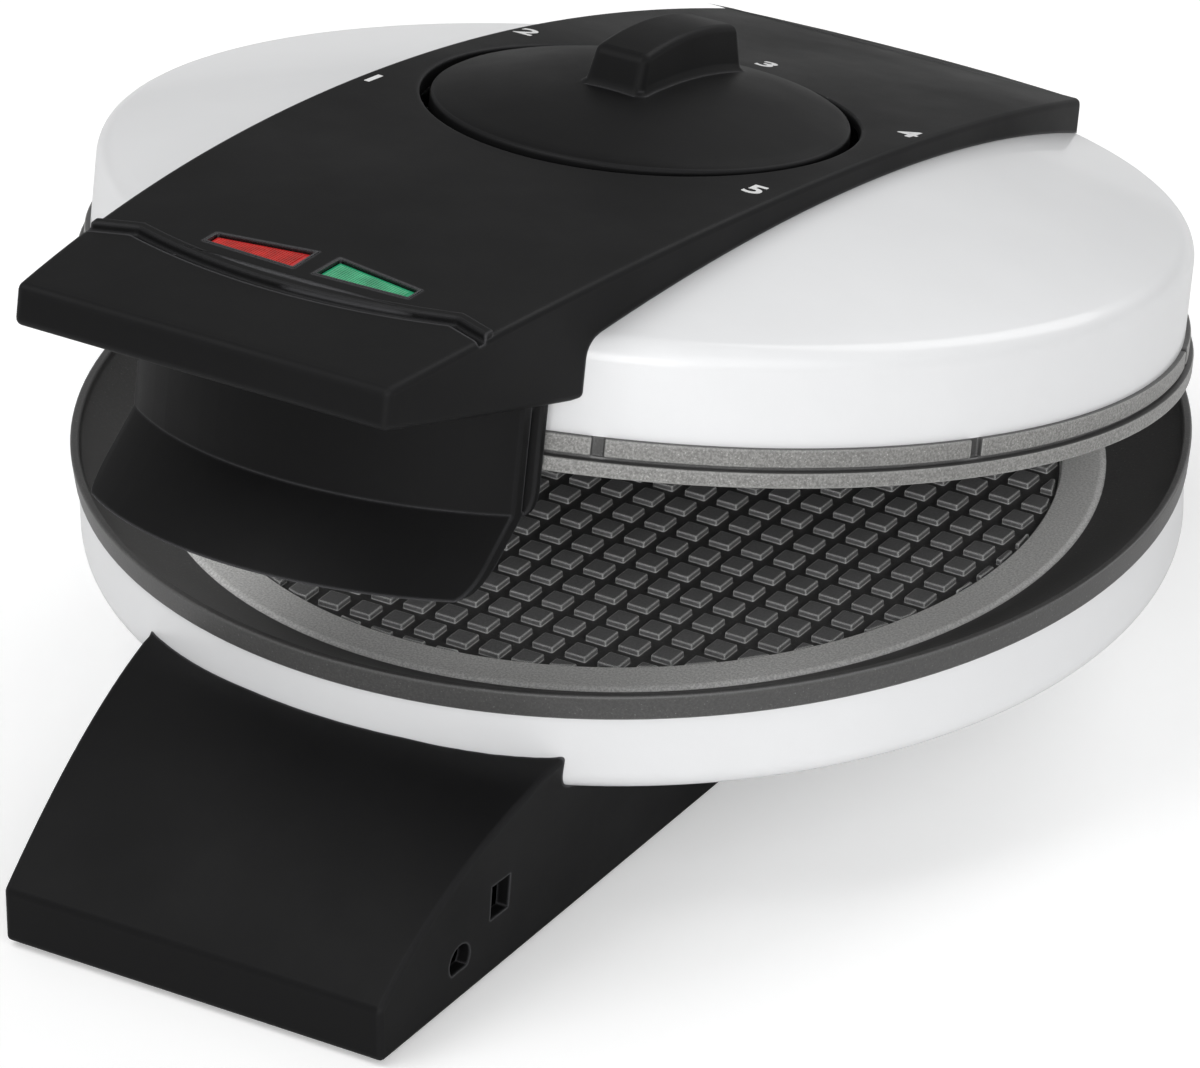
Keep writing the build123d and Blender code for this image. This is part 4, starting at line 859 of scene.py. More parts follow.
GROUPS = {"grain": make_grain(), "edges": make_edge_light(), "speckle": make_speckle(), "dust": make_dust()}
Colour = tuple[float, float, float]
CLOUD_SCALE = 30
DUST_SCALE = 70
# Size of the lighter edges, which are handling wear and a painted highlight.
EDGE_WEAR_AND_HIGHLIGHT_WIDTH = 0.9
EDGE_WEAR_AND_HIGHLIGHT_REACH = 0.14
COATING_SCALE = 900
COATING_CLOUD = 25
# Width of the coating's lighter edges: handling wear and a painted highlight.
COATING_WEAR_AND_HIGHLIGHT_WIDTH = 0.6
GLASS_CLOUD = 250


def dim(colour: Colour, share: float) -> tuple[float, float, float, float]:
    """A colour darkened by a share, with full alpha."""
    return (*(value * (1 - share) for value in colour), 1)


def use_group(tree: Tree, name: str, *values: float) -> list[bpy.types.NodeSocket]:
    """Places a shared group in a material.

    Args:
        tree: The material's tree.
        name: The group's name in GROUPS.
        *values: Values for its inputs, in order.

    Returns:
        Its outputs.
    """
    node = tree.tree.nodes.new("ShaderNodeGroup")
    node.node_tree = GROUPS[name]
    for number, value in enumerate(values):
        node.inputs[number].default_value = value
    return list(node.outputs)


@dataclass(frozen=True)
class Finish:
    """A moulded, painted or plain metal surface.

    Args:
        name: Name of the material.
        colour: Colour of the faces.
        edge: Colour of the lighter edges: partly handling wear, partly a painted highlight.
        roughness: Roughness of the faces.
        metallic: Whether the surface is bare metal, from 0 to 1.
        grain: Size of the grain in millimetres.
        depth: Strength of the grain's bump.
        cloud: How much the colour and gloss drift over the surface.
        coat: Weight of a clear coat.
        dust: Share of dust on what faces up.
        edge_share: Strength of the lighter edges, both wear and painted highlight.
        specular: Specular level of the faces.
    """

    name: str
    colour: Colour
    edge: Colour
    roughness: float
    metallic: float = 0.0
    grain: float = 0.4
    depth: float = 0.15
    cloud: float = 0.1
    coat: float = 0.0
    dust: float = 0.0
    edge_share: float = 0.6
    specular: float = 0.5

    def material(self) -> bpy.types.Material:
        """The finish as a material, built once."""
        return bpy.data.materials.get(self.name) or self._build()

    def _start(self) -> tuple[Tree, bpy.types.Node]:
        """An empty material of this name, with its shader.

        Returns:
            The material's tree and its shader node.
        """
        material = bpy.data.materials.new(self.name)
        material.use_nodes = True
        tree = Tree(material.node_tree)
        shader = material.node_tree.nodes["Principled BSDF"]
        shader.inputs["Metallic"].default_value = self.metallic
        shader.inputs["Coat Weight"].default_value = self.coat
        shader.inputs["Specular IOR Level"].default_value = self.specular
        return tree, shader

    def _build(self) -> bpy.types.Material:
        """Builds the nodes.

        Returns:
            The material.
        """
        tree, shader = self._start()
        height, shade = use_group(tree, "grain", 1 / (self.grain * MM), CLOUD_SCALE)
        # Convex edges get the edge colour: handling wear and a painted highlight.
        edges = use_group(tree, "edges", EDGE_WEAR_AND_HIGHLIGHT_WIDTH * MM, EDGE_WEAR_AND_HIGHLIGHT_REACH)[0]
        dust = use_group(tree, "dust", DUST_SCALE)[0]
        face = tree.blend(shade, dim(self.colour, self.cloud), (*self.colour, 1))
        worn_and_highlit = tree.blend(tree.sum("MULTIPLY", edges, self.edge_share), face, (*self.edge, 1))
        pale = (*(0.35 + 0.5 * value for value in self.colour), 1)
        tree.feed(shader, "Base Color", tree.blend(tree.sum("MULTIPLY", dust, self.dust), worn_and_highlit, pale))
        drift = tree.sum("MULTIPLY_ADD", shade, self.cloud, self.roughness - self.cloud / 2)
        tree.feed(shader, "Roughness", tree.sum("MULTIPLY_ADD", height, self.cloud / 2, drift))
        bump = tree.add("Bump", Height=height, Strength=self.depth, Distance=self.grain * MM / 4)
        tree.feed(shader, "Normal", bump.outputs[0])
        return bpy.data.materials[self.name]


@dataclass(frozen=True)
class Coating(Finish):
    """A non-stick coating on a casting, with pale flecks.

    Args:
        fleck: Colour of the flecks.
        flecks: Level of the grain from which flecks show.
        contrast: How much darker the grain's hollows are.
    """

    fleck: Colour = (0.4, 0.4, 0.4)
    flecks: float = 0.56
    contrast: float = 0.3

    def _build(self) -> bpy.types.Material:
        """Builds the nodes.

        Returns:
            The material.
        """
        tree, shader = self._start()
        fleck, grain = use_group(tree, "speckle", 1 / (self.grain * MM), self.flecks)
        shade = use_group(tree, "grain", COATING_SCALE, COATING_CLOUD)[1]
        # Lighter coating edges: handling wear and a painted highlight.
        edges = use_group(tree, "edges", COATING_WEAR_AND_HIGHLIGHT_WIDTH * MM, EDGE_WEAR_AND_HIGHLIGHT_REACH)[0]
        face = tree.blend(shade, dim(self.colour, self.cloud), (*self.colour, 1))
        rough = tree.blend(tree.ramp(grain, 0.38, 0.62), dim(self.colour, self.contrast), face)
        worn_and_highlit = tree.blend(tree.sum("MULTIPLY", edges, self.edge_share), rough, (*self.edge, 1))
        tree.feed(shader, "Base Color", tree.blend(fleck, worn_and_highlit, (*self.fleck, 1)))
        tree.feed(shader, "Roughness", tree.sum("MULTIPLY_ADD", grain, 0.2, self.roughness - 0.1))
        bump = tree.add("Bump", Height=grain, Strength=self.depth, Distance=self.grain * MM / 3)
        tree.feed(shader, "Normal", bump.outputs[0])
        return bpy.data.materials[self.name]


@dataclass(frozen=True)
class LampGlass(Finish):
    """Clear or tinted moulding that lets light through.

    Args:
        through: Share of the light that passes.
        glow: Strength of its own light.
    """

    through: float = 0.3
    glow: float = 0.0

    def _build(self) -> bpy.types.Material:
        """Builds the nodes.

        Returns:
            The material.
        """
        tree, shader = self._start()
        height, shade = use_group(tree, "grain", 1 / (self.grain * MM), GLASS_CLOUD)
        face = tree.blend(shade, dim(self.colour, self.cloud), (*self.colour, 1))
        tree.feed(shader, "Base Color", face)
        tree.feed(shader, "Emission Color", face)
        tree.feed(shader, "Roughness", tree.sum("MULTIPLY_ADD", height, 0.1, self.roughness))
        shader.inputs["Emission Strength"].default_value = self.glow
        shader.inputs["Transmission Weight"].default_value = self.through
        return bpy.data.materials[self.name]


# Each finish's edge colour goes on its convex edges as handling wear and as a painted highlight.
FINISHES: dict[str, Finish] = {
    "black_plastic": Finish(
        "black_moulding", (0.0075, 0.0075, 0.0078), (0.1, 0.1, 0.105), 0.46, grain=0.35, depth=0.2,
        cloud=0.14, dust=0.004, edge_share=0.8, specular=0.1,
    ),
    "white_plastic": Finish(
        "white_moulding", (0.86, 0.865, 0.875), (0.93, 0.93, 0.94), 0.3, grain=2.5, depth=0.04,
        cloud=0.03, coat=0.25, edge_share=0.3,
    ),
    "non_stick_casting": Coating(
        "dark_casting", (0.1, 0.099, 0.098), (0.34, 0.34, 0.34), 0.4, metallic=0.1, grain=0.5,
        depth=0.3, cloud=0.2, edge_share=0.7, specular=0.4, fleck=(0.34, 0.34, 0.34),
    ),
    "element_steel": Finish("element_sheath", (0.3, 0.28, 0.26), (0.45, 0.43, 0.4), 0.5, 1.0, cloud=0.3),
    "aluminium_sheet": Finish("plain_sheet", (0.7, 0.7, 0.71), (0.8, 0.8, 0.8), 0.35, 1.0, cloud=0.1),
    "zinc_steel": Finish("zinc_plate", (0.6, 0.6, 0.61), (0.75, 0.75, 0.75), 0.32, 1.0, cloud=0.2),
    "bracket_steel": Finish(
        "black_powder_coat", (0.02, 0.02, 0.021), (0.12, 0.12, 0.12), 0.5, grain=0.8, depth=0.4,
        specular=0.3,
    ),
    "black_rubber": Finish(
        "black_rubber", (0.012, 0.012, 0.012), (0.05, 0.05, 0.05), 0.8, grain=0.3, depth=0.3,
        specular=0.2,
    ),
    "lead_sleeve": Finish("lead_sleeve", (0.72, 0.7, 0.65), (0.75, 0.73, 0.7), 0.6, grain=0.9, depth=0.2),
    "ceramic_body": Finish("ceramic", (0.76, 0.73, 0.66), (0.85, 0.83, 0.78), 0.7, grain=0.6, depth=0.3),
    "terminal_plastic": Finish("heat_proof_moulding", (0.66, 0.65, 0.6), (0.75, 0.75, 0.7), 0.5),
    "red_lens": LampGlass(
        "red_lens", (0.45, 0.004, 0.008), (0.6, 0.1, 0.1), 0.2, cloud=0.7, coat=0.15, grain=0.8,
        glow=0.2, specular=0.25,
    ),
    "green_lens": LampGlass(
        "green_lens", (0.012, 0.14, 0.055), (0.1, 0.5, 0.3), 0.2, cloud=0.5, coat=0.15, grain=0.8,
        glow=0.12, specular=0.25,
    ),
    "lamp_glass": LampGlass("lamp_glass", (0.9, 0.9, 0.85), (0.9, 0.9, 0.9), 0.08, cloud=0.1, through=0.8),
}
# The land's near-white colour is rubbed coating and a painted sheen: it stands in for the reflection of a metallic
# grey land in the lid's shade, so it looks nearly white in direct light.
LAND = Coating(
    "worn_land_painted_sheen", (0.92, 0.915, 0.9), (0.93, 0.93, 0.92), 0.45, metallic=0.0, grain=0.5, depth=0.3,
    cloud=0.15, edge_share=0.3, fleck=(0.97, 0.97, 0.96), flecks=0.42, contrast=0.35,
)
LIP = Coating(
    "worn_lip", (0.36, 0.357, 0.345), (0.55, 0.55, 0.54), 0.42, metallic=0.15, grain=0.5, depth=0.35,
    cloud=0.2, edge_share=0.7, fleck=(0.7, 0.7, 0.68), flecks=0.46, contrast=0.5,
)
# The pads are a lighter grey than the casting, which is painted light on their raised tops, and their near-white
# edges are a painted highlight along every edge.
PADS = Coating(
    "pads_painted_light", (0.24, 0.24, 0.241), (0.9, 0.9, 0.89), 0.36, metallic=0.0, grain=0.5, depth=0.2,
    cloud=0.15, edge_share=1.0, fleck=(0.27, 0.27, 0.27),
)
LENS_RIBS: dict[str, Finish] = {
    "red": LampGlass("red_ribs", (0.62, 0.03, 0.02), (0.7, 0.1, 0.1), 0.2, cloud=0.5, glow=0.25),
    "green": LampGlass("green_ribs", (0.1, 0.52, 0.28), (0.2, 0.6, 0.4), 0.2, cloud=0.4, glow=0.2),
}
GLOSS_BEZEL = Finish(
    "gloss_bezel", (0.005, 0.005, 0.005), (0.16, 0.16, 0.17), 0.14, grain=1.5, depth=0.05, coat=0.1,
    edge_share=0.5, specular=0.2,
)
DIAL_INK = Finish("dial_ink", (0.82, 0.82, 0.82), (0.9, 0.9, 0.9), 0.45, grain=0.4, depth=0.1, cloud=0.08)


def dress(piece: Piece, finish: Finish) -> Piece:
    """Gives a piece one finish all over.

    Args:
        piece: The piece.
        finish: The finish.

    Returns:
        The piece.
    """
    piece.data.materials.clear()
    piece.data.materials.append(finish.material())
    return piece


def fit(
    piece: Piece, body: Body, slot: str, nodes: Sequence[str] = (), finish: Optional[Finish] = None
) -> Piece:
    """Turns, shades, dresses and mounts a finished piece.

    Args:
        piece: The piece, as it lies with the lid closed.
        body: The body that carries it.
        slot: The record's material slot that it takes its finish from.
        nodes: The frame's nodes that it stands for.
        finish: Its finish, where that differs from the slot's own.

    Returns:
        The piece.
    """
    if body is not Body.STAND:
        Bench.turn(piece, DATUM.opening())
    Bench.smooth(piece)
    if not any(piece.data.materials):
        dress(piece, finish or FINISHES[slot])
    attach(piece, body.value)
    if nodes:
        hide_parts(*nodes)
    log.info("%-18s on %-5s %6d faces", piece.name, body.value, len(piece.data.polygons))
    return piece


@dataclass
class PadField:
    """Square pads of a baking plate, inside a circle."""

    size: float = 5.0
    pitch: float = 7.9
    rows: int = 24
    height: float = 1.3
    reach: float = 89.8
    sunk: float = 0.3
    edge: float = 0.35
    sides: int = 144

    def build(self, base: float, up: int) -> Piece:
        """Models one pad, repeats it in both directions and trims the field to its circle.

        Args:
            base: Height of the surface that the pads stand on.
            up: 1 where they stand up from it, -1 where they hang down.

        Returns:
            The pads as one piece.
        """
        first = -(self.rows * self.pitch - self.pitch + self.size) / 2
        foot = base - up * self.sunk
        low, high = sorted((foot, base + up * self.height))
        pads = Bench.block("pads", (first, first, low), (first + self.size, first + self.size, high))
        Bench.repeat(pads, self.rows, Vector((self.pitch, 0, 0)))
        Bench.repeat(pads, self.rows, Vector((0, self.pitch, 0)))
        Bench.trim(pads, Bench.post("field", self.reach, 0, low - 1, high + 1, self.sides))
        # The pads' finish paints light on their tops and highlights along their edges.
        return dress(Bench.soften(pads, self.edge, 2), PADS)


def on_land(inner: float, outer: float, up: int) -> FaceTest:
    """A test for the faces of a plate's flat land.

    Args:
        inner: Radius inside the land.
        outer: Radius outside it.
        up: 1 where the land faces up, -1 where it faces down.

    Returns:
        The test.
    """
    return lambda place, normal: inner - 1 < hypot(place.x, place.y) < outer + 1 and up * normal.z > 0.3


@dataclass
class LowerPlate:
    """Lower baking plate: rim, sloping apron, flat land and the field of pads."""

    rim_radius: float = 118.0
    rim_z: float = 57.9
    rim_width: float = 1.8
    rim_depth: float = 5.7
    taper: float = 0.6
    flange_width: float = 5.4
    land_inner: float = 90.7
    land_outer: float = 99.0
    land_z: float = 49.5
    land_step: float = 0.7
    apron_top: float = 1.5
    apron_gap: float = 0.4
    apron_steps: int = 10
    apron_sag: float = 1.4
    recess: float = 1.8
    wall: float = 4.0
    edge: float = 0.4

    def profile(self) -> list[Point]:
        """Half section of the casting, from its middle over the rim to its underside.

        Returns:
            Distances from the axis and heights.
        """
        foot = (self.land_outer + self.land_step, self.land_z - self.land_step)
        head = (self.rim_radius - self.rim_width - self.apron_gap, self.rim_z - self.apron_top)
        mid = ((foot[0] + head[0]) / 2, (foot[1] + head[1]) / 2 - self.apron_sag)
        apron = along_arc(foot, mid, head)
        slope = [(reach, apron(reach)) for reach in spread(foot[0], head[0], self.apron_steps)]
        floor = self.land_z - self.recess
        flange = self.rim_z - self.rim_depth
        return [
            (0, floor), (self.land_inner, floor),
            (self.land_inner, self.land_z), (self.land_outer, self.land_z),
            *slope,
            (self.rim_radius - self.rim_width, self.rim_z), (self.rim_radius, self.rim_z),
            (self.rim_radius, self.rim_z - self.taper), (self.rim_radius - self.taper, flange),
            (self.rim_radius - self.taper - self.flange_width, flange),
            (self.land_outer + self.wall, floor - self.wall), (0, floor - self.wall),
        ]

    def build(self) -> Piece:
        """Turns the casting, gives the land its rubbed finish with a painted sheen and sets the pads in it.

        Returns:
            The plate.
        """
        plate = Bench.revolve("lower_plate_casting", self.profile())
        Bench.soften(plate, self.edge)

        # The land takes the near-white finish with its painted sheen.
        dress_areas(plate, [(LAND, on_land(self.land_inner, self.land_outer, 1))])
        Bench.join(plate, PadField().build(self.land_z - self.recess, 1))
        return fit(plate, Body.STAND, "non_stick_casting", ["lower_plate"])


def dress_areas(plate: Piece, areas: Sequence[tuple[Finish, FaceTest]]) -> None:
    """Gives a plate the coating all over, and some areas a finish of their own.

    Args:
        plate: The plate.
        areas: Finishes, each with a test of a face's place and normal.
    """
    plate.data.materials.append(FINISHES["non_stick_casting"].material())
    for number, (finish, wanted) in enumerate(areas, start=1):
        plate.data.materials.append(finish.material())
        Bench.pick_faces(plate, wanted)
        plate.active_material_index = number
        bpy.ops.object.material_slot_assign()
        Bench.clear()


@dataclass
class UpperPlate:
    """Upper baking plate: lip, groove, notched collar, land and pads."""

    lip_radius: float = 117.3
    lip_z: float = 58.4
    lip_height: float = 3.2
    groove_height: float = 0.7
    groove_depth: float = 2.1
    collar_inset: float = 1.1
    collar_height: float = 3.9
    lip_width: float = 4.0
    land_inner: float = 90.7
    land_outer: float = 99.0
    land_z: float = 53.3
    land_step: float = 0.7
    recess: float = 1.8
    wall: float = 4.0
    notch_width: float = 2.6
    notch_depth: float = 1.6
    notch_angles: tuple[float, ...] = (28, 68)
    worn_reach: float = 0.3
    edge: float = 0.4

    def profile(self) -> list[Point]:
        """Half section of the casting, from its middle over the lip to its back.

        Returns:
            Distances from the axis and heights.
        """
        floor = self.land_z + self.recess
        lip_top = self.lip_z + self.lip_height
        collar = self.lip_radius - self.collar_inset
        collar_z = lip_top + self.groove_height
        open_z = collar_z + self.collar_height
        return [
            (0, floor), (self.land_inner, floor),
            (self.land_inner, self.land_z), (self.land_outer, self.land_z),
            (self.land_outer + self.land_step, self.land_z + self.land_step),
            (self.lip_radius - self.lip_width, self.lip_z), (self.lip_radius, self.lip_z),
            (self.lip_radius, lip_top), (self.lip_radius - self.groove_depth, lip_top),
            (self.lip_radius - self.groove_depth, collar_z), (collar, collar_z), (collar, open_z),
            (collar - self.wall, open_z), (collar - 2 * self.wall, floor + 2 * self.wall),
            (self.land_outer, floor + self.wall), (0, floor + self.wall),
        ]

    def build(self) -> Piece:
        """Turns the casting, cuts the collar's notches and hangs the pads in it.

        Returns:
            The plate.
        """
        plate = Bench.revolve("upper_plate_casting", self.profile())
        collar = self.lip_radius - self.collar_inset
        low = self.lip_z + self.lip_height + self.groove_height / 2
        high = low + self.collar_height + self.groove_height
        for angle in self.notch_angles:
            for turn in (angle, -angle, 180 - angle, 180 + angle):
                half = self.notch_width / 2
                reach = (collar - self.notch_depth, collar + self.notch_depth)
                notch = Bench.block("notch", (-half, reach[0], low), (half, reach[1], high))
                centre = DATUM.at(0, 0, 0)
                around = Matrix.Rotation(radians(turn), 4, "Z")
                Bench.turn(notch, Matrix.Translation(centre) @ around @ Matrix.Translation(-centre))
                Bench.cut(plate, notch)
        Bench.soften(plate, self.edge)

        def on_lip(place: Vector, normal: Vector) -> bool:
            """Whether a face lies outside on the lip or the collar, and not in a notch.

            Args:
                place: The face's middle.
                normal: Its normal.

            Returns:
                Whether it does.
            """
            reach = hypot(place.x, place.y)
            outside = Vector((place.x, place.y)).normalized().dot(Vector((normal.x, normal.y)))
            return reach > collar - self.worn_reach and place.z > self.lip_z and outside > 0.5

        # The lands take the near-white finish with its painted sheen.
        dress_areas(plate, [(LAND, on_land(self.land_inner, self.land_outer, -1)), (LIP, on_lip)])
        Bench.join(plate, PadField().build(self.land_z + self.recess, -1))
        return fit(plate, Body.LID, "non_stick_casting", ["upper_plate"])


@dataclass(frozen=True)
class Shell:
    """One white shell: a straight wall below a dome.

    Args:
        radius: Radius of its outside.
        open_z: Height of its open edge.
        edge_z: Height where the straight wall would meet the dome.
        apex_z: Height of the dome's top.
        wall: Thickness of its wall.
        corner: Size of the round between wall and dome.
    """

    radius: float
    open_z: float
    edge_z: float
    apex_z: float
    wall: float = 2.4
    corner: float = 4.0

    def grown(self, amount: float) -> "Shell":
        """This shell with every surface moved outward.

        Args:
            amount: How far the surfaces move.

        Returns:
            The grown shell.
        """
        side = amount if self.apex_z > self.edge_z else -amount
        return replace(
            self, radius=self.radius + amount, open_z=self.open_z - side, edge_z=self.edge_z + side,
            apex_z=self.apex_z + side,
        )

    def form(self) -> list[Point]:
        """Half section of the outside, from its apex to its edge, with a rounded corner.

        Returns:
            Distances from the axis and heights.
        """
        side = 1 if self.apex_z > self.edge_z else -1
        bow = bow_radius(self.radius, abs(self.apex_z - self.edge_z))
        reaches = spread(0, self.radius - self.corner, DOME_STEPS)
        dome = [(reach, self.apex_z - side * sag(bow, reach)) for reach in reaches]
        start, mid = dome[-1], (self.radius, self.edge_z)
        end = (self.radius, self.edge_z - side * self.corner)
        turn = [
            tuple((1 - at) ** 2 * a + 2 * at * (1 - at) * b + at**2 * c for a, b, c in zip(start, mid, end))
            for at in spread(0, 1, CORNER_STEPS)[1:]
        ]
        return dome + turn

    def space(self, name: str) -> Piece:
        """The solid space that the shell encloses, with its wall."""
        return Bench.revolve(name, self.form() + [(self.radius, self.open_z), (0, self.open_z)])

    def build(self, name: str) -> Piece:
        """Turns the shell with its wall.

        Args:
            name: Name of the piece.

        Returns:
            The shell.
        """
        inner = self.grown(-self.wall)
        edge = [(self.radius, self.open_z), (inner.radius, self.open_z)]
        return Bench.revolve(name, self.form() + edge + inner.form()[::-1])


@dataclass
class Housings:
    """The two white shells."""

    lower: Shell = Shell(116.5, 52.2, 35.5, 19.5)
    upper: Shell = Shell(115.0, 66.2, 85.6, 101.5)
    window_half: float = 43.0
    window_front: float = -96.0
    window_rear: float = 92.0
    hub_radius: float = 48.7
    hub_y: float = -6.0
    hub_sides: int = 96

    def build(self) -> list[Piece]:
        """Turns both shells and opens the upper one under the band.

        Returns:
            The lower shell and the upper one.
        """
        lower, upper = self.lower.build("lower_white_shell"), self.upper.build("upper_white_shell")
        low, high = self.upper.edge_z - self.upper.wall, self.upper.apex_z + self.upper.wall
        front = (-self.window_half, self.window_front, low)
        Bench.cut(upper, Bench.block("window", front, (self.window_half, self.window_rear, high)))
        Bench.cut(upper, Bench.post("hub", self.hub_radius, self.hub_y, low, high, self.hub_sides))
        fit(lower, Body.STAND, "white_plastic", ["lower_housing"])
        fit(upper, Body.LID, "white_plastic", ["upper_housing"])
        return [lower, upper]


@dataclass
class Stand:
    """Black stand: the lower handle in front, the hinge column behind."""

    front: float = -166.0
    rear: float = 136.0
    foot: float = 1.2
    hip: float = 45.0
    waist_y: float = -70.0
    foot_halves: tuple[float, float, float] = (46.0, 45.0, 42.0)
    hip_halves: tuple[float, float, float] = (46.0, 52.8, 44.0)
    nose_z: float = 13.2
    brow: Point = (-142.0, 29.5)
    neck: Point = (-105.0, 42.9)
    crown: float = 3.3
    crown_half: float = 40.0
    crown_y: float = -116.5
    crown_cuts: int = 8
    nose_steps: int = 18
    body_steps: int = 36
    wall: float = 3.0
    edge: float = 1.2
    column_half: float = 42.0
    column_front: float = 118.4
    column_top: float = 53.0
    column_foot: float = 3.9
    column_wall: float = 2.6
    ear_inner: float = 31.0
    ear_radius: float = 6.5
    ear_edge: float = 0.5
    pin_hole: float = 3.06
    slot_y: Point = (-127.6, -121.1)
    slot_z: Point = (15.0, 23.1)
    outlet: Point = (-138.1, 10.9)
    outlet_radius: float = 3.7
    outlet_flat: float = 2.4
    inlet: Point = (24.0, 15.0)
    inlet_radius: float = 6.1
    outlet_sides: int = 40
    plate_clear: float = 118.3
    plate_clear_z: float = 51.9

    def sections(self, inset: float, drop: float) -> list[Section]:
        """Sections of the body, set in by a wall.

        Args:
            inset: The wall.
            drop: How far below the body's foot the sections start.

        Returns:
            The sections from front to rear.
        """
        places = (self.front, self.waist_y, self.rear)
        low_edge = along_arc(*zip(places, self.foot_halves))
        high_edge = along_arc(*zip(places, self.hip_halves))
        brow = along_arc((self.front, self.nose_z), self.brow, self.neck)
        rise = self.hip - self.foot
        nose = [(y, brow(y) - inset) for y in spread(self.front, self.neck[0], self.nose_steps)]
        rest = [(y, self.hip - inset) for y in spread(self.neck[0] + 1, self.rear, self.body_steps)]
        found = []
        for y, high in nose + rest:
            share = (high - self.foot) / rise
            low_half = low_edge(y) - inset
            high_half = low_edge(y) + (high_edge(y) - low_edge(y)) * share - inset
            y = min(max(y, self.front + inset), self.rear - inset)
            found.append(Section(y, low_half, high_half, self.foot - drop, high))
        return [at for at, after in zip(found, found[1:] + [None]) if after is None or after.y - at.y > 0.1]

    def build(self, housings: Housings) -> Piece:
        """Models the body, hollows it, adds the column with its ears and cuts the openings.

        Args:
            housings: The white shells, whose lower one the stand carries.

        Returns:
            The stand.
        """
        stand = Bench.loft("stand_moulding", self.sections(0, 0))
        self._crown(stand)
        Bench.soften(stand, self.edge, 4)
        Bench.cut(stand, Bench.loft("hollow", self.sections(self.wall, 1)))
        half, wall = self.column_half, self.column_wall
        column = Bench.block(
            "column", (-half, self.column_front, self.column_foot), (half, self.rear, self.column_top)
        )
        Bench.cut(column, Bench.block(
            "column_hollow",
            (wall - half, self.column_front + wall, 0),
            (half - wall, self.rear - wall, self.column_top - wall),
        ))
        Bench.fuse(stand, column)
        for side in (-1, 1):
            Bench.fuse(stand, self._ear(side))
        Bench.cut(stand, housings.lower.grown(FIT).space("lower_space"))
        rim = (self.plate_clear_z, self.plate_clear_z + 30)
        Bench.cut(stand, Bench.post("rim_space", self.plate_clear, 0, *rim, TURN_STEPS))
        self._openings(stand)
        return fit(stand, Body.STAND, "black_plastic", ["stand"])

    def _crown(self, stand: Piece) -> None:
        """Raises the top between its edges, most where it meets the lower shell.

        Args:
            stand: The stand's body.
        """
        Bench.split(stand, Vector(), Vector((self.crown_half, 0, 0)), self.crown_cuts)
        nose = [section for section in self.sections(0, 0) if section.y < self.neck[0]]

        def rise(place: Vector) -> float:
            """How far a corner of the top moves up.

            Args:
                place: The corner's place.

            Returns:
                The rise in millimetres.
            """
            section = min(nose, key=lambda at: abs(at.y - place.y))
            if hypot(section.y - place.y, section.high - place.z) > HAIR:
                return 0.0
            ahead = (place.y - self.front) / (self.crown_y - self.front)
            behind = (self.neck[0] - place.y) / (self.neck[0] - self.crown_y)
            return self.crown * min(ahead, behind) * (1 - (place.x / section.high_half) ** 2)

        Bench.lift(stand, rise)

    def _ear(self, side: int) -> Piece:
        """Models one hinge ear.

        Args:
            side: 1 on the right and -1 on the left.

        Returns:
            The ear with its pin hole.
        """
        inner, outer = sorted((side * self.ear_inner, side * self.column_half))
        reach, height = DATUM.hinge_reach, DATUM.hinge_z
        foot = self.column_top - self.column_wall
        radius = self.ear_radius
        arch = [(reach + radius * cos(turn), height + radius * sin(turn)) for turn in spread(0, pi, 16)]
        outline = [(reach + radius, foot), *arch, (reach - radius, foot)]
        ear = Bench.prism("ear", [Vector((inner, y, z)) for y, z in outline], Vector((outer - inner, 0, 0)))
        Bench.soften(ear, self.ear_edge, 2)
        hole = Vector((inner - 1, reach, height))
        return Bench.cut(ear, Bench.rod("pin_hole", self.pin_hole, hole, Vector((outer - inner + 2, 0, 0))))

    def _openings(self, stand: Piece) -> None:
        """Cuts the slot and the D-shaped outlet in the right wall, and the inlet in the rear one.

        Args:
            stand: The stand.
        """
        near, far = self.foot_halves[1] - 2 * self.wall, self.hip_halves[1] + 1
        front, rear = zip((near, far), self.slot_y, self.slot_z)
        Bench.cut(stand, Bench.block("slot", front, rear))
        y, z = self.outlet
        across = Vector((far - near, 0, 0))
        outlet = Bench.rod("outlet", self.outlet_radius, Vector((near, y, z)), across, self.outlet_sides)
        low = Vector((0, y, z - self.outlet_flat))
        Bench.cut(stand, Bench.slice(outlet, low, Vector((0, 0, -1))))
        x, z = self.inlet
        start, along = Vector((x, self.rear - 2 * self.wall, z)), Vector((0, 3 * self.wall, 0))
        Bench.cut(stand, Bench.rod("inlet", self.inlet_radius, start, along))


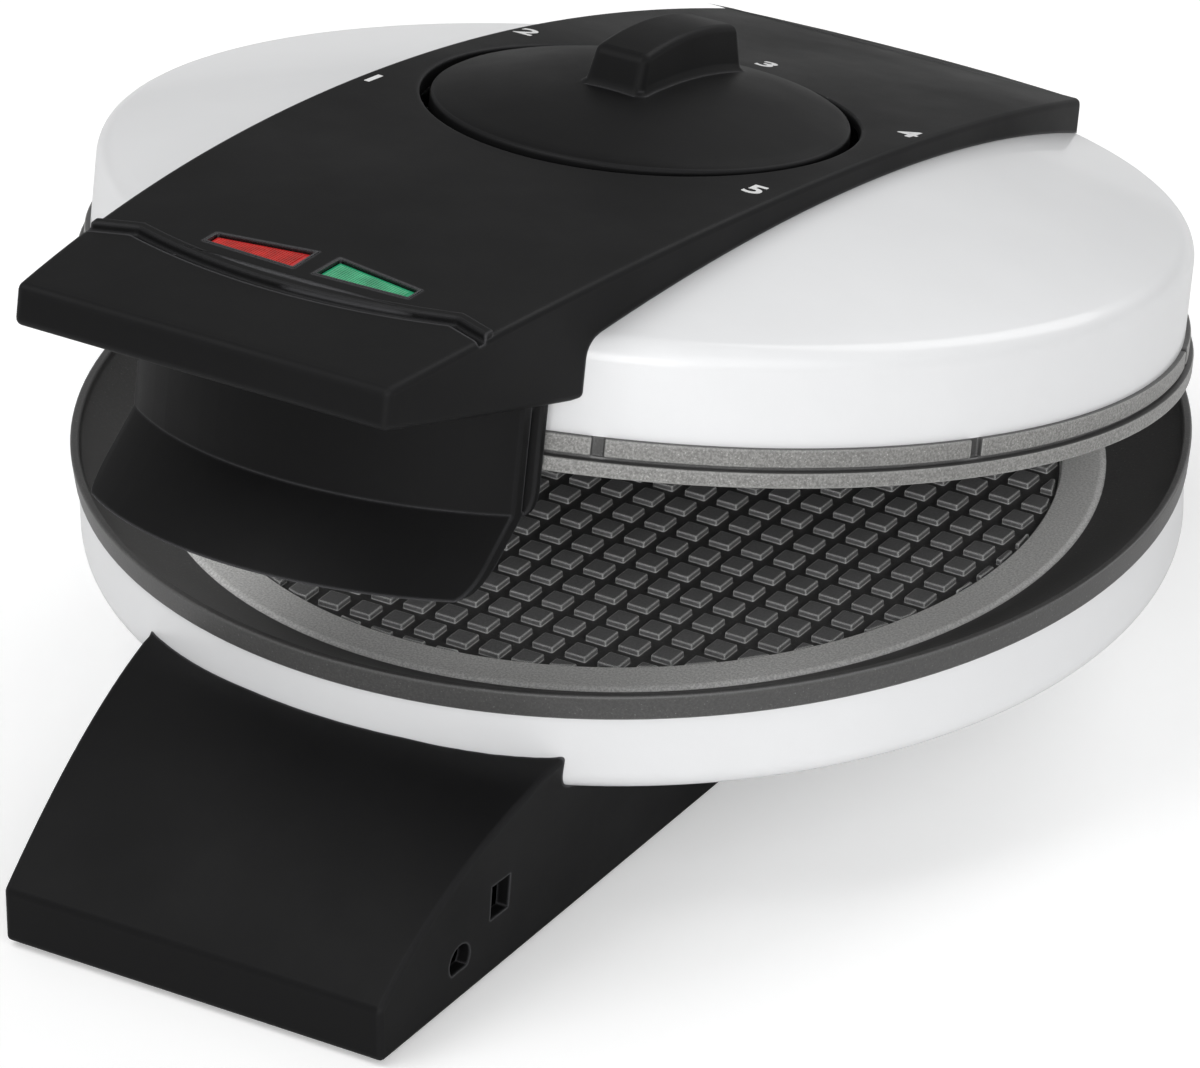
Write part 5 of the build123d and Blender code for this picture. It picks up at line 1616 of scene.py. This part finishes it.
@dataclass
class TopBand:
    """Arched black band: the upper handle, the knob's well and the lamp windows."""

    front: float = -166.0
    rear: float = 104.0
    bulge: float = 6.9
    front_half: float = 44.2
    mid_half: float = 53.0
    mid_y: float = -22.0
    rear_half: float = 44.8
    crown_y: float = -6.0
    crown_z: float = 103.1
    nose_top: float = 87.6
    tail_top: float = 93.6
    nose_bottom: float = 79.0
    throat_y: float = -106.0
    throat_z: float = 73.4
    wall: float = 2.8
    edge: float = 1.5
    edge_angle: float = 40.0
    handle_steps: int = 16
    top_steps: int = 48
    tail_sides: int = 300
    throat_sides: int = 120
    guard_radius: float = 118.8
    well_radius: float = 46.0
    well_floor: float = 97.5
    well_edge: float = 0.7
    rib_y: float = -138.2
    rib_end: Point = (38.0, -132.4)
    rib_tip: Point = (47.5, -136.0)
    rib_width: float = 2.6
    rib_rise: float = 0.9
    rib_inset: float = 0.4
    rib_edge: float = 0.5
    rib_steps: int = 32
    furrow_width: float = 2.4
    furrow_depth: float = 1.0
    furrow_edge: float = 0.45
    window: tuple[Point, ...] = ((2.4, -121.6), (24.6, -125.4), (24.6, -130.4), (2.2, -131.2))

    def top(self, y: float) -> float:
        """Height of the band's top at a place along it.

        Args:
            y: The place along Y.

        Returns:
            The height.
        """
        if y < self.crown_y:
            radius = bow_radius(self.crown_y - self.front, self.crown_z - self.nose_top)
        else:
            radius = bow_radius(self.rear - self.crown_y, self.crown_z - self.tail_top)
        return self.crown_z - sag(radius, abs(y - self.crown_y))

    def slope(self, y: float) -> float:
        """Angle of the band's top at a place along it, rising to the rear."""
        return atan((self.top(y + HAIR) - self.top(y - HAIR)) / (2 * HAIR))

    def underside(self, y: float) -> float:
        """Height of the handle's underside at a place along it."""
        share = (y - self.front) / (self.throat_y - self.front)
        return self.nose_bottom + share * (self.throat_z - self.nose_bottom)

    def sections(self, inset: float, lift: float, low: Optional[float] = None) -> list[Section]:
        """Sections of the band.

        Args:
            inset: How far its sides are set in.
            lift: How far its top is lifted.
            low: Height of its foot, or its own underside.

        Returns:
            The sections from front to rear.
        """
        ends = (self.front, self.front_half), (self.rear, self.rear_half)
        half = along_arc(ends[0], (self.mid_y, self.mid_half), ends[1])
        places = spread(self.front + inset, self.throat_y, self.handle_steps)
        places += spread(self.throat_y, self.rear + self.bulge + 2, self.top_steps)[1:]
        found = []
        for y in places:
            foot = max(self.underside(y), self.throat_z) if low is None else low
            width = half(min(y, self.rear + self.bulge)) - inset
            found.append(Section(y, width, width, foot, self.top(y) + lift))
        return found

    def strip(self, shift: float, width: float) -> list[Point]:
        """Plan outline of the strip that the rib follows.

        Args:
            shift: How far the strip is moved forward.
            width: Its width.

        Returns:
            The outline's corners.
        """
        end_x, end_y = self.rib_end
        bow = along_arc((-end_x, end_y), (0, self.rib_y), (end_x, end_y))
        tip_x, tip_y = self.rib_tip
        along = [(x, bow(x)) for x in spread(-end_x, end_x, self.rib_steps)]
        line = [(-tip_x, tip_y), *along, (tip_x, tip_y)]
        front = [(x, y - shift - width / 2) for x, y in line]
        rear = [(x, y - shift + width / 2) for x, y in line]
        return front + rear[::-1]

    def build(self, housings: Housings) -> Piece:
        """Models the band.

        Args:
            housings: The white shells, whose upper one the band straddles.

        Returns:
            The band.
        """
        band = Bench.loft("arched_band", self.sections(0, 0))
        bow = bow_radius(self.rear_half, self.bulge)
        tail = self.rear + self.bulge - bow
        Bench.trim(band, Bench.post("tail_bow", bow, tail, 0, 2 * self.crown_z, self.tail_sides))
        Bench.soften(band, self.edge, 4, self.edge_angle)
        hollow = Bench.loft("handle_hollow", self.sections(self.wall, -self.wall, self.throat_z - 2))
        Bench.cut(hollow, Bench.post("throat", self.guard_radius, 0, 0, FAR, self.throat_sides))
        ahead = Bench.block("ahead", (-FAR, self.front, 0), (FAR, 0, FAR))
        Bench.cut(band, Bench.trim(hollow, ahead))
        Bench.cut(band, housings.upper.grown(FIT).space("upper_space"))
        self._well(band)
        self._rib(band)
        for side in (-1, 1):
            outline = [(side * x, y) for x, y in self.window]
            Bench.cut(band, Bench.slab("window", outline, self.nose_bottom + 2, self.crown_z))
        return fit(band, Body.LID, "black_plastic", ["top_band"])

    def _well(self, band: Piece) -> None:
        """Sinks the knob's well and rounds its rim.

        Args:
            band: The band's piece.
        """
        floor, over = self.well_floor, self.well_floor + 20
        Bench.cut(band, Bench.post("well", self.well_radius, self.crown_y, floor, over, TURN_STEPS))

        def on_rim(place: Vector) -> bool:
            """Whether a place lies on the well's upper rim."""
            off = abs(hypot(place.x, place.y - self.crown_y) - self.well_radius)
            return off < 0.01 and place.z > self.well_floor + 1

        Bench.round_edges(band, lambda a, b: on_rim(a) and on_rim(b), self.well_edge)

    def _rib(self, band: Piece) -> None:
        """Raises the rib across the handle and sinks the furrow before it.

        Args:
            band: The band's piece.
        """
        shift = (self.rib_width + self.furrow_width) / 2
        low, high = self.nose_bottom, self.crown_z + 2
        furrow = Bench.slab("furrow", self.strip(shift, self.furrow_width), low, high)
        Bench.cut(furrow, Bench.loft("furrow_bed", self.sections(-2, -self.furrow_depth)))
        Bench.soften(furrow, self.furrow_edge, 3)
        Bench.cut(band, furrow)
        rib = Bench.slab("rib", self.strip(0, self.rib_width), low, high)
        Bench.trim(rib, Bench.loft("rib_top", self.sections(self.rib_inset, self.rib_rise)))
        Bench.cut(rib, Bench.loft("rib_foot", self.sections(-2, -self.wall / 2)))
        Bench.soften(rib, self.rib_edge, 3)
        Bench.fuse(band, rib)


@dataclass
class FingerGuard:
    """Skirt under the handle: a bowed wall with a flared lip, and a second wall behind it."""

    half: float = 45.8
    bow: float = 70.2
    front: float = -134.8
    wall: float = 2.6
    kink_z: float = 51.2
    lip_z: float = 36.2
    flare: float = 14.6
    flare_wall: float = 3.6
    corner: float = 6.0
    roof: float = 2.2
    inner_radius: float = 118.8
    inner_wall: float = 2.2
    inner_half: float = 46.5
    inner_bottom: float = 49.3
    edge: float = 0.5
    edge_angle: float = 50.0
    near: float = 0.05
    split_half: float = 42.4
    splits: int = 16

    def _bow_outline(self, radius: float, centre_y: float, wall: float, half: float) -> list[Point]:
        """Plan outline of a bowed wall that reaches past a half width.

        Args:
            radius: Radius of its outer face.
            centre_y: Place of its axis along Y.
            wall: Its thickness.
            half: The half width.

        Returns:
            The outline's corners.
        """
        outer = [(x, centre_y - sqrt(radius**2 - x**2)) for x in spread(-half, half, BOW_STEPS)]
        inner = [(x, centre_y - sqrt((radius - wall) ** 2 - x**2)) for x in spread(half, -half, BOW_STEPS)]
        return outer + inner

    def _corners(self, piece: Piece, half: float, low: float) -> None:
        """Rounds the two lower corners of a wall.

        Args:
            piece: The wall.
            half: Half of its width.
            low: Height of its foot.
        """

        def at_corner(*ends: Vector) -> bool:
            """Whether both ends of an edge lie at a lower corner."""
            return all(max(abs(abs(end.x) - half), abs(end.z - low)) < self.near for end in ends)

        Bench.round_edges(piece, at_corner, self.corner, 8)

    def build(self, band: TopBand) -> Piece:
        """Models the guard.

        Args:
            band: The band whose underside it hangs from.

        Returns:
            The guard.
        """
        centre = self.front + self.bow
        top = band.nose_bottom + 4
        skirt_plan = self._bow_outline(self.bow, centre, self.wall, self.half)
        skirt = Bench.slab("finger_skirt", skirt_plan, self.kink_z, top)
        lip_plan = self._bow_outline(self.bow, centre, self.flare_wall, self.half)
        lip_drop = Vector((0, -self.flare, self.lip_z - self.kink_z))
        lip = Bench.prism("lip", [Vector((x, y, self.kink_z)) for x, y in lip_plan], lip_drop)
        self._corners(lip, self.half, self.lip_z)
        Bench.fuse(skirt, lip)
        back_radius = self.inner_radius + self.inner_wall
        back_plan = self._bow_outline(back_radius, 0, self.inner_wall, self.inner_half)
        back = Bench.slab("back_wall", back_plan, self.inner_bottom, top)
        self._corners(back, self.inner_half, self.inner_bottom)
        Bench.fuse(skirt, back)
        Bench.fuse(skirt, self._roof(band, centre))
        slope = Vector((0, band.nose_bottom - band.throat_z, band.throat_y - band.front))
        Bench.slice(skirt, Vector((0, band.front, band.nose_bottom - FIT)), slope)
        Bench.soften(skirt, self.edge, 3, self.edge_angle)
        Bench.split(skirt, Vector(), Vector((self.split_half, 0, 0)), self.splits)
        return fit(skirt, Body.LID, "black_plastic", ["finger_guard"])

    def _roof(self, band: TopBand, centre: float) -> Piece:
        """Models the roof between the two walls.

        Args:
            band: The band whose underside it follows.
            centre: Place of the skirt's axis along Y.

        Returns:
            The roof.
        """
        half = self.half - self.wall / 2
        bow = self.bow - self.wall / 2
        back = self.inner_radius + self.inner_wall / 2
        front_line = [(x, centre - sqrt(bow**2 - x**2)) for x in spread(-half, half, BOW_STEPS)]
        back_line = [(x, -sqrt(back**2 - x**2)) for x in spread(half, -half, BOW_STEPS)]
        roof = Bench.slab("roof", front_line + back_line, band.throat_z - 8, band.nose_bottom + 4)
        slope = Vector((0, band.nose_bottom - band.throat_z, band.throat_y - band.front))
        low = band.nose_bottom - FIT - self.roof
        return Bench.slice(roof, Vector((0, band.front, low)), -slope)


@dataclass(frozen=True)
class GripRing:
    """One ring round the grip bar.

    Args:
        half: Half of its length.
        width: Its width.
        rise: Its height above the dome, or below the arch where it is negative.
    """

    half: float
    width: float
    rise: float


@dataclass
class TemperatureKnob:
    """Domed disc with a grip bar that stands behind its middle."""

    centre_y: float = -6.0
    radius: float = 43.9
    bottom: float = 98.3
    edge_z: float = 103.0
    dome_z: float = 110.0
    bevel: float = 0.9
    skin: float = 2.6
    grip_y: float = 2.0
    grip_half: float = 20.5
    grip_width: float = 13.8
    top_half: float = 18.5
    top_width: float = 12.8
    arch_half: float = 21.6
    shoulder_z: float = 116.2
    top_z: float = 119.2
    corner: float = 2.4
    flare: float = 1.6
    foot_rings: tuple[Point, ...] = ((0.5, 0.2), (0.15, 0.8), (0.0, 1.8))
    ring_step: float = 2.0
    sunk: float = 0.4
    grip_edge: float = 1.5
    rim_gap: float = 1.44
    dome_steps: int = 20
    cuts: int = 13

    def _dome(self, reach: float) -> float:
        """Height of the dome at a reach from its axis."""
        return self.dome_z - sag(bow_radius(self.radius, self.dome_z - self.edge_z), reach)

    def _arch(self, y: float) -> float:
        """Height of the grip's top at a place along it."""
        bow = bow_radius(self.arch_half, self.top_z - self.shoulder_z)
        return self.top_z - sag(bow, abs(y - self.grip_y))

    def build(self) -> Piece:
        """Models the disc and raises the grip from it.

        Returns:
            The knob.
        """
        knob = Bench.fuse(self._disc(), self._grip())
        knob.name = knob.data.name = "domed_knob"
        return fit(knob, Body.KNOB, "black_plastic", ["temperature_knob"])

    def _disc(self) -> Piece:
        """The disc with its rounded rim, hollow below.

        Returns:
            The disc.
        """
        rim = [
            (self.radius + self.bevel * (cos(turn) - 1), self.edge_z + self.bevel * (sin(turn) - 1))
            for turn in spread(0, pi / 2, 4)
        ]
        reaches = spread(self.radius - self.rim_gap, 0, self.dome_steps)
        dome = [(reach, self._dome(reach)) for reach in reaches]
        profile = [
            (0, self.bottom + self.skin), (self.radius - self.skin, self.bottom + self.skin),
            (self.radius - self.skin, self.bottom), (self.radius, self.bottom), *rim, *dome,
        ]
        return Bench.revolve("disc", profile, self.centre_y)

    def _outline(self, ring: GripRing) -> list[Point]:
        """Plan outline of a ring, a rectangle with round corners.

        Args:
            ring: The ring.

        Returns:
            The outline's corners.
        """
        x, y = ring.width / 2 - self.corner, ring.half - self.corner
        corners = ((x, y, 0), (-x, y, pi / 2), (-x, -y, pi), (x, -y, 3 * pi / 2))
        return [
            (cx + self.corner * cos(start + turn), self.grip_y + cy + self.corner * sin(start + turn))
            for cx, cy, start in corners for turn in spread(0, pi / 2, 7)
        ]

    def _grip(self) -> Piece:
        """The grip bar: a flared foot that follows the dome, sloping sides and an arched top.

        Returns:
            The grip bar.
        """
        foot = GripRing(self.grip_half + self.flare, self.grip_width + 2 * self.flare, -self.sunk)
        rings = [
            GripRing(self.grip_half + share * self.flare, self.grip_width + 2 * share * self.flare, rise)
            for share, rise in self.foot_rings
        ]
        rings.append(GripRing(self.top_half, self.top_width, 0.0))
        levels = {self.dome_z + self.ring_step * number: ring for number, ring in enumerate([foot, *rings])}
        base, first = list(levels)[:2]
        grip = Bench.slab("grip", self._outline(foot), base, first)
        Bench.pick_faces(grip, lambda place, normal: place.z > first - HAIR)
        before = foot
        for number, ring in enumerate(rings):
            if number:
                step = (0, 0, self.ring_step * MM)
                bpy.ops.mesh.extrude_region_move(TRANSFORM_OT_translate={"value": step})
            factor = (ring.width / before.width, ring.half / before.half, 1)
            bpy.ops.transform.resize(value=factor, center_override=DATUM.at(0, self.grip_y, 0))
            before = ring
        reach = Vector((0, self.top_half - 2 * self.corner, 0))
        Bench.split(grip, Vector((0, self.grip_y, 0)), reach, self.cuts)
        self._drape(grip, levels)
        self._round_top(grip)
        return grip

    def _drape(self, grip: Piece, levels: dict[float, GripRing]) -> None:
        """Lowers the lower rings to the dome and raises the last one to the arch.

        Args:
            grip: The grip bar.
            levels: Its rings, by the heights that they stand at.
        """
        top = max(levels)

        def rise(place: Vector) -> float:
            """How far a corner moves up to its ring's surface.

            Args:
                place: The corner's place.

            Returns:
                The rise in millimetres.
            """
            level = min(levels, key=lambda height: abs(height - place.z))
            reach = hypot(place.x, place.y - self.centre_y)
            surface = self._arch(place.y) if level == top else self._dome(reach)
            return surface + levels[level].rise - place.z

        Bench.lift(grip, rise)

    def _round_top(self, grip: Piece) -> None:
        """Rounds the edge round the grip's top.

        Args:
            grip: The grip bar.
        """

        def on_edge(first: Vector, second: Vector) -> bool:
            """Whether an edge runs along the rim of the arched top.

            Args:
                first: One end of the edge.
                second: Its other end.

            Returns:
                Whether it does.
            """
            on_top = all(abs(end.z - self._arch(end.y)) < HAIR for end in (first, second))
            across = abs(first.y - second.y) < HAIR and abs(first.x - second.x) > 1
            at_end = abs(abs(first.y - self.grip_y) - self.top_half) < HAIR
            return on_top and (at_end or not across)

        Bench.round_edges(grip, on_edge, self.grip_edge, 4)


@dataclass
class LampWindows:
    """Red and green lenses with a ribbed face, sunk in a thin glossy bezel."""

    inset: float = 0.75
    seat: float = 0.1
    proud: float = 0.15
    bezel_depth: float = 5.2
    sunk: float = 0.6
    depth: float = 3.1
    rib_pitch: float = 0.62
    rib_width: float = 0.4
    rib_rise: float = 0.16
    rib_margin: float = 0.9
    lens_edge: float = 0.25
    bezel_edge: float = 0.2

    def _outline(self, band: TopBand, side: int, inset: float) -> list[Point]:
        """A window's outline set in by an amount.

        Args:
            band: The band with the windows.
            side: 1 for the right window and -1 for the left.
            inset: The amount.

        Returns:
            The outline's corners.
        """
        corners = [Vector(point) for point in band.window]
        count = len(corners)
        found = []
        for number, corner in enumerate(corners):
            back = (corners[number - 1] - corner).normalized()
            ahead = (corners[(number + 1) % count] - corner).normalized()
            inward = (back + ahead).normalized()
            reach = inset / sqrt((1 - back.dot(ahead)) / 2)
            found.append(corner + inward * reach)
        return [(side * point.x, point.y) for point in found]

    def _lens(self, band: TopBand, side: int, name: str) -> Piece:
        """Models one lens with its ribs.

        Args:
            band: The band with the windows.
            side: 1 for the right window and -1 for the left.
            name: Name of the lens, which starts with its colour.

        Returns:
            The lens.
        """
        outline = self._outline(band, side, self.inset)
        low = band.top(band.front) - self.depth
        lens = Bench.slab(name, outline, low, band.crown_z)
        Bench.trim(lens, Bench.loft("face", band.sections(0, -self.sunk, low)))
        Bench.cut(lens, Bench.loft("back", band.sections(-1, -self.sunk - self.depth + 1, low - 5)))
        Bench.soften(lens, self.lens_edge, 2)
        colour = name.split("_")[0]
        dress(lens, FINISHES[f"{colour}_lens"])
        return Bench.join(lens, dress(self._ribs(band, side), LENS_RIBS[colour]))

    def _ribs(self, band: TopBand, side: int) -> Piece:
        """Models the fine ribs across a lens.

        Args:
            band: The band with the windows.
            side: 1 for the right window and -1 for the left.

        Returns:
            The ribs as one piece.
        """
        xs = sorted(x for x, _ in self._outline(band, side, self.inset + self.rib_margin))
        ys = sorted(y for _, y in self._outline(band, side, self.inset))
        count = int((xs[-1] - xs[0]) / self.rib_pitch)
        high = band.crown_z
        rib = Bench.block("ribs", (xs[0], ys[0], band.nose_bottom), (xs[0] + self.rib_width, ys[-1], high))
        Bench.repeat(rib, count, Vector((self.rib_pitch, 0, 0)))
        lift = self.rib_rise - self.sunk
        Bench.trim(rib, Bench.loft("rib_face", band.sections(0, lift)))
        Bench.cut(rib, Bench.loft("rib_bed", band.sections(-1, lift - 0.5)))
        outline = self._outline(band, side, self.inset + self.rib_margin)
        return Bench.trim(rib, Bench.slab("field", outline, band.nose_bottom, band.crown_z + 1))

    def _bezel(self, band: TopBand) -> Piece:
        """The thin frame round both lenses.

        Args:
            band: The band with the windows.

        Returns:
            The bezel.
        """
        frames = []
        for side in (-1, 1):
            low = band.nose_bottom + 2
            ring = Bench.slab("bezel", self._outline(band, side, self.seat), low, band.crown_z)
            Bench.trim(ring, Bench.loft("face", band.sections(0, self.proud, low)))
            Bench.cut(ring, Bench.loft("back", band.sections(-1, -self.bezel_depth, low - 2)))
            opening = self._outline(band, side, self.inset - self.seat)
            Bench.cut(ring, Bench.slab("opening", opening, low - 3, FAR))
            frames.append(Bench.soften(ring, self.bezel_edge, 2))
        bezel = Bench.join(*frames)
        bezel.name = bezel.data.name = "lamp_bezel"
        return fit(bezel, Body.LID, "black_plastic", ["lens_bezel"], GLOSS_BEZEL)

    def build(self, band: TopBand) -> list[Piece]:
        """Models the bezel and both lenses; the red one is on the left.

        Args:
            band: The band with the windows.

        Returns:
            The bezel, the red lens and the green one.
        """
        pieces = [self._bezel(band)]
        for side, colour in ((-1, "red"), (1, "green")):
            lens = self._lens(band, side, f"{colour}_lamp_lens")
            pieces.append(fit(lens, Body.LID, f"{colour}_lens", [f"{colour}_lens"]))
        return pieces


@dataclass
class DialNumbers:
    """Printed numbers round the knob, upright for someone in front."""

    radius: float = 56.0
    height: float = 5.4
    ink: float = 0.06
    bold: float = 0.02
    broad: float = 1.25
    raw_depth: float = 0.01
    places: tuple[float, ...] = (208.5, 147.5, 93, 32.5, -33.5)

    def build(self, band: TopBand) -> list[Piece]:
        """Sets each number on the band's top.

        Args:
            band: The band that carries them.

        Returns:
            The numbers.
        """
        pieces = []
        for number, angle in enumerate(self.places, start=1):
            x = self.radius * cos(radians(angle))
            y = band.crown_y + self.radius * sin(radians(angle))
            Bench.clear()
            bpy.ops.object.text_add()
            text = bpy.context.active_object
            text.data.body = str(number)
            text.data.align_x = "CENTER"
            text.data.align_y = "CENTER"
            text.data.size = 1.0
            text.data.extrude = self.raw_depth
            text.data.offset = self.bold
            bpy.ops.object.convert(target="MESH")
            piece = Bench.settle(bpy.context.active_object, f"dial_number_{number}")
            scale = self.height * MM / piece.dimensions.y
            stretch = Matrix.Diagonal((scale * self.broad, scale, self.ink * MM / self.raw_depth, 1))
            lean = Matrix.Rotation(band.slope(y), 4, "X")
            Bench.turn(piece, Matrix.Translation(DATUM.at(x, y, band.top(y))) @ lean @ stretch)
            pieces.append(fit(piece, Body.LID, "white_plastic", finish=DIAL_INK))
        return pieces


@dataclass
class Carried:
    """The frame's own nodes, each with the finish of its slot."""

    def build(self) -> None:
        """Dresses every node of the frame."""
        slots = {part["node"]: part["material_slot"] for part in frame["record"]["subparts"]}
        for name, node in frame["nodes"].items():
            material = FINISHES[slots[name]].material()
            for slot in node.material_slots:
                slot.material = material
            if not node.material_slots:
                node.data.materials.append(material)


@dataclass(frozen=True)
class Lamp:
    """A square soft lamp that looks at the object.

    Args:
        name: Its name.
        place: Where it hangs, in metres.
        size: Length of its side in metres.
        power: Its power in watts.
        target: The place that it looks at.
    """

    name: str
    place: tuple[float, float, float]
    size: float
    power: float
    target: tuple[float, float, float] = (0, 0, 0.07)

    def build(self) -> None:
        """Hangs the lamp."""
        Bench.clear()
        aim = (Vector(self.target) - Vector(self.place)).to_track_quat("-Z", "Y").to_euler()
        bpy.ops.object.light_add(type="AREA", location=self.place, rotation=aim)
        lamp = bpy.context.active_object
        lamp.name = self.name
        lamp.data.size = self.size
        lamp.data.energy = self.power


@dataclass
class Studio:
    """Pale floor, soft lamps and the camera."""

    camera_at: tuple[float, float, float] = (1008.98, -1565.66, 1048.80)
    azimuth: float = 33.01
    elevation: float = 28.66
    roll: float = -0.92
    focal: float = 10020.0
    picture_width: float = 1200.0
    sensor: float = 36.0
    floor_size: float = 12.0
    reach: float = 50.0
    world_strength: float = 0.36
    floor_glow: float = 0.32
    floor_tones: tuple[float, float] = (0.86, 0.88)
    lamps: tuple[Lamp, ...] = (
        Lamp("key_lamp", (-0.75, -1.0, 2.05), 1.6, 22.0),
        Lamp("fill_lamp", (1.7, -1.0, 1.2), 1.5, 9.0),
        Lamp("low_lamp", (1.0, -1.9, 0.62), 1.0, 14.0),
        Lamp("rear_lamp", (0.3, 1.8, 1.6), 1.4, 14.0),
    )

    def build(self) -> None:
        """Sets up the floor, the lamps, the world and the camera."""
        self._floor()
        for lamp in self.lamps:
            lamp.build()
        self._world()
        self._camera()

    def _floor(self) -> None:
        """A pale floor that keeps the shadow and shows nearly white."""
        Bench.clear()
        bpy.ops.mesh.primitive_plane_add(size=self.floor_size, location=(0, 0, 0))
        floor = bpy.context.active_object
        floor.name = "studio_floor"
        material = bpy.data.materials.new("pale_floor")
        material.use_nodes = True
        tree = Tree(material.node_tree)
        shader = material.node_tree.nodes["Principled BSDF"]
        grain = use_group(tree, "grain", 300, 3)[1]
        dark, pale = ((tone, tone, tone, 1) for tone in self.floor_tones)
        tree.feed(shader, "Base Color", tree.blend(grain, dark, pale))
        shader.inputs["Roughness"].default_value = 0.9
        shader.inputs["Specular IOR Level"].default_value = 0.1
        shader.inputs["Emission Color"].default_value = (1, 1, 1, 1)
        tree.feed(shader, "Emission Strength", tree.sum("MULTIPLY", self._seen(tree), self.floor_glow))
        floor.data.materials.append(material)

    def _world(self) -> None:
        """A soft even world, white where the camera sees it."""
        world = bpy.data.worlds.new("soft_room")
        bpy.context.scene.world = world
        world.use_nodes = True
        tree = Tree(world.node_tree)
        sky = world.node_tree.nodes["Background"]
        sky.inputs["Color"].default_value = (1, 1, 1, 1)
        dim_level = self.world_strength
        strength = tree.sum("MULTIPLY_ADD", self._seen(tree), 1 - dim_level, dim_level)
        tree.feed(sky, "Strength", strength)

    @staticmethod
    def _seen(tree: Tree) -> bpy.types.NodeSocket:
        """1 for what the camera sees, straight or through glass, and 0 for all other light."""
        rays = tree.add("LightPath").outputs
        return tree.sum("MAXIMUM", rays["Is Camera Ray"], rays["Is Transmission Ray"])

    def _camera(self) -> None:
        """A camera at the photograph's viewing angle."""
        Bench.clear()
        turn, rise, roll = radians(self.azimuth), radians(self.elevation), radians(self.roll)
        back = Vector((sin(turn) * cos(rise), -cos(turn) * cos(rise), sin(rise)))
        level = Vector((cos(turn), sin(turn), 0))
        upright = back.cross(level)
        right = level * cos(roll) + upright * sin(roll)
        over = upright * cos(roll) - level * sin(roll)
        axes = Matrix((right, over, back)).transposed().to_4x4()
        bpy.ops.object.camera_add()
        camera = bpy.context.active_object
        camera.name = "photo_camera"
        camera.matrix_world = Matrix.Translation(DATUM.at(*self.camera_at)) @ axes
        camera.data.sensor_width = self.sensor
        camera.data.lens = self.focal / self.picture_width * self.sensor
        camera.data.clip_end = self.reach
        bpy.context.scene.camera = camera
        bpy.context.scene.view_settings.view_transform = "Standard"


def main() -> None:
    """Builds and dresses every sub-assembly in order."""
    housings = Housings()
    band = TopBand()
    Carried().build()
    LowerPlate().build()
    UpperPlate().build()
    housings.build()
    Stand().build(housings)
    band.build(housings)
    FingerGuard().build(band)
    TemperatureKnob().build()
    LampWindows().build(band)
    DialNumbers().build(band)
    Studio().build()


if __name__ == "__main__":
    main()
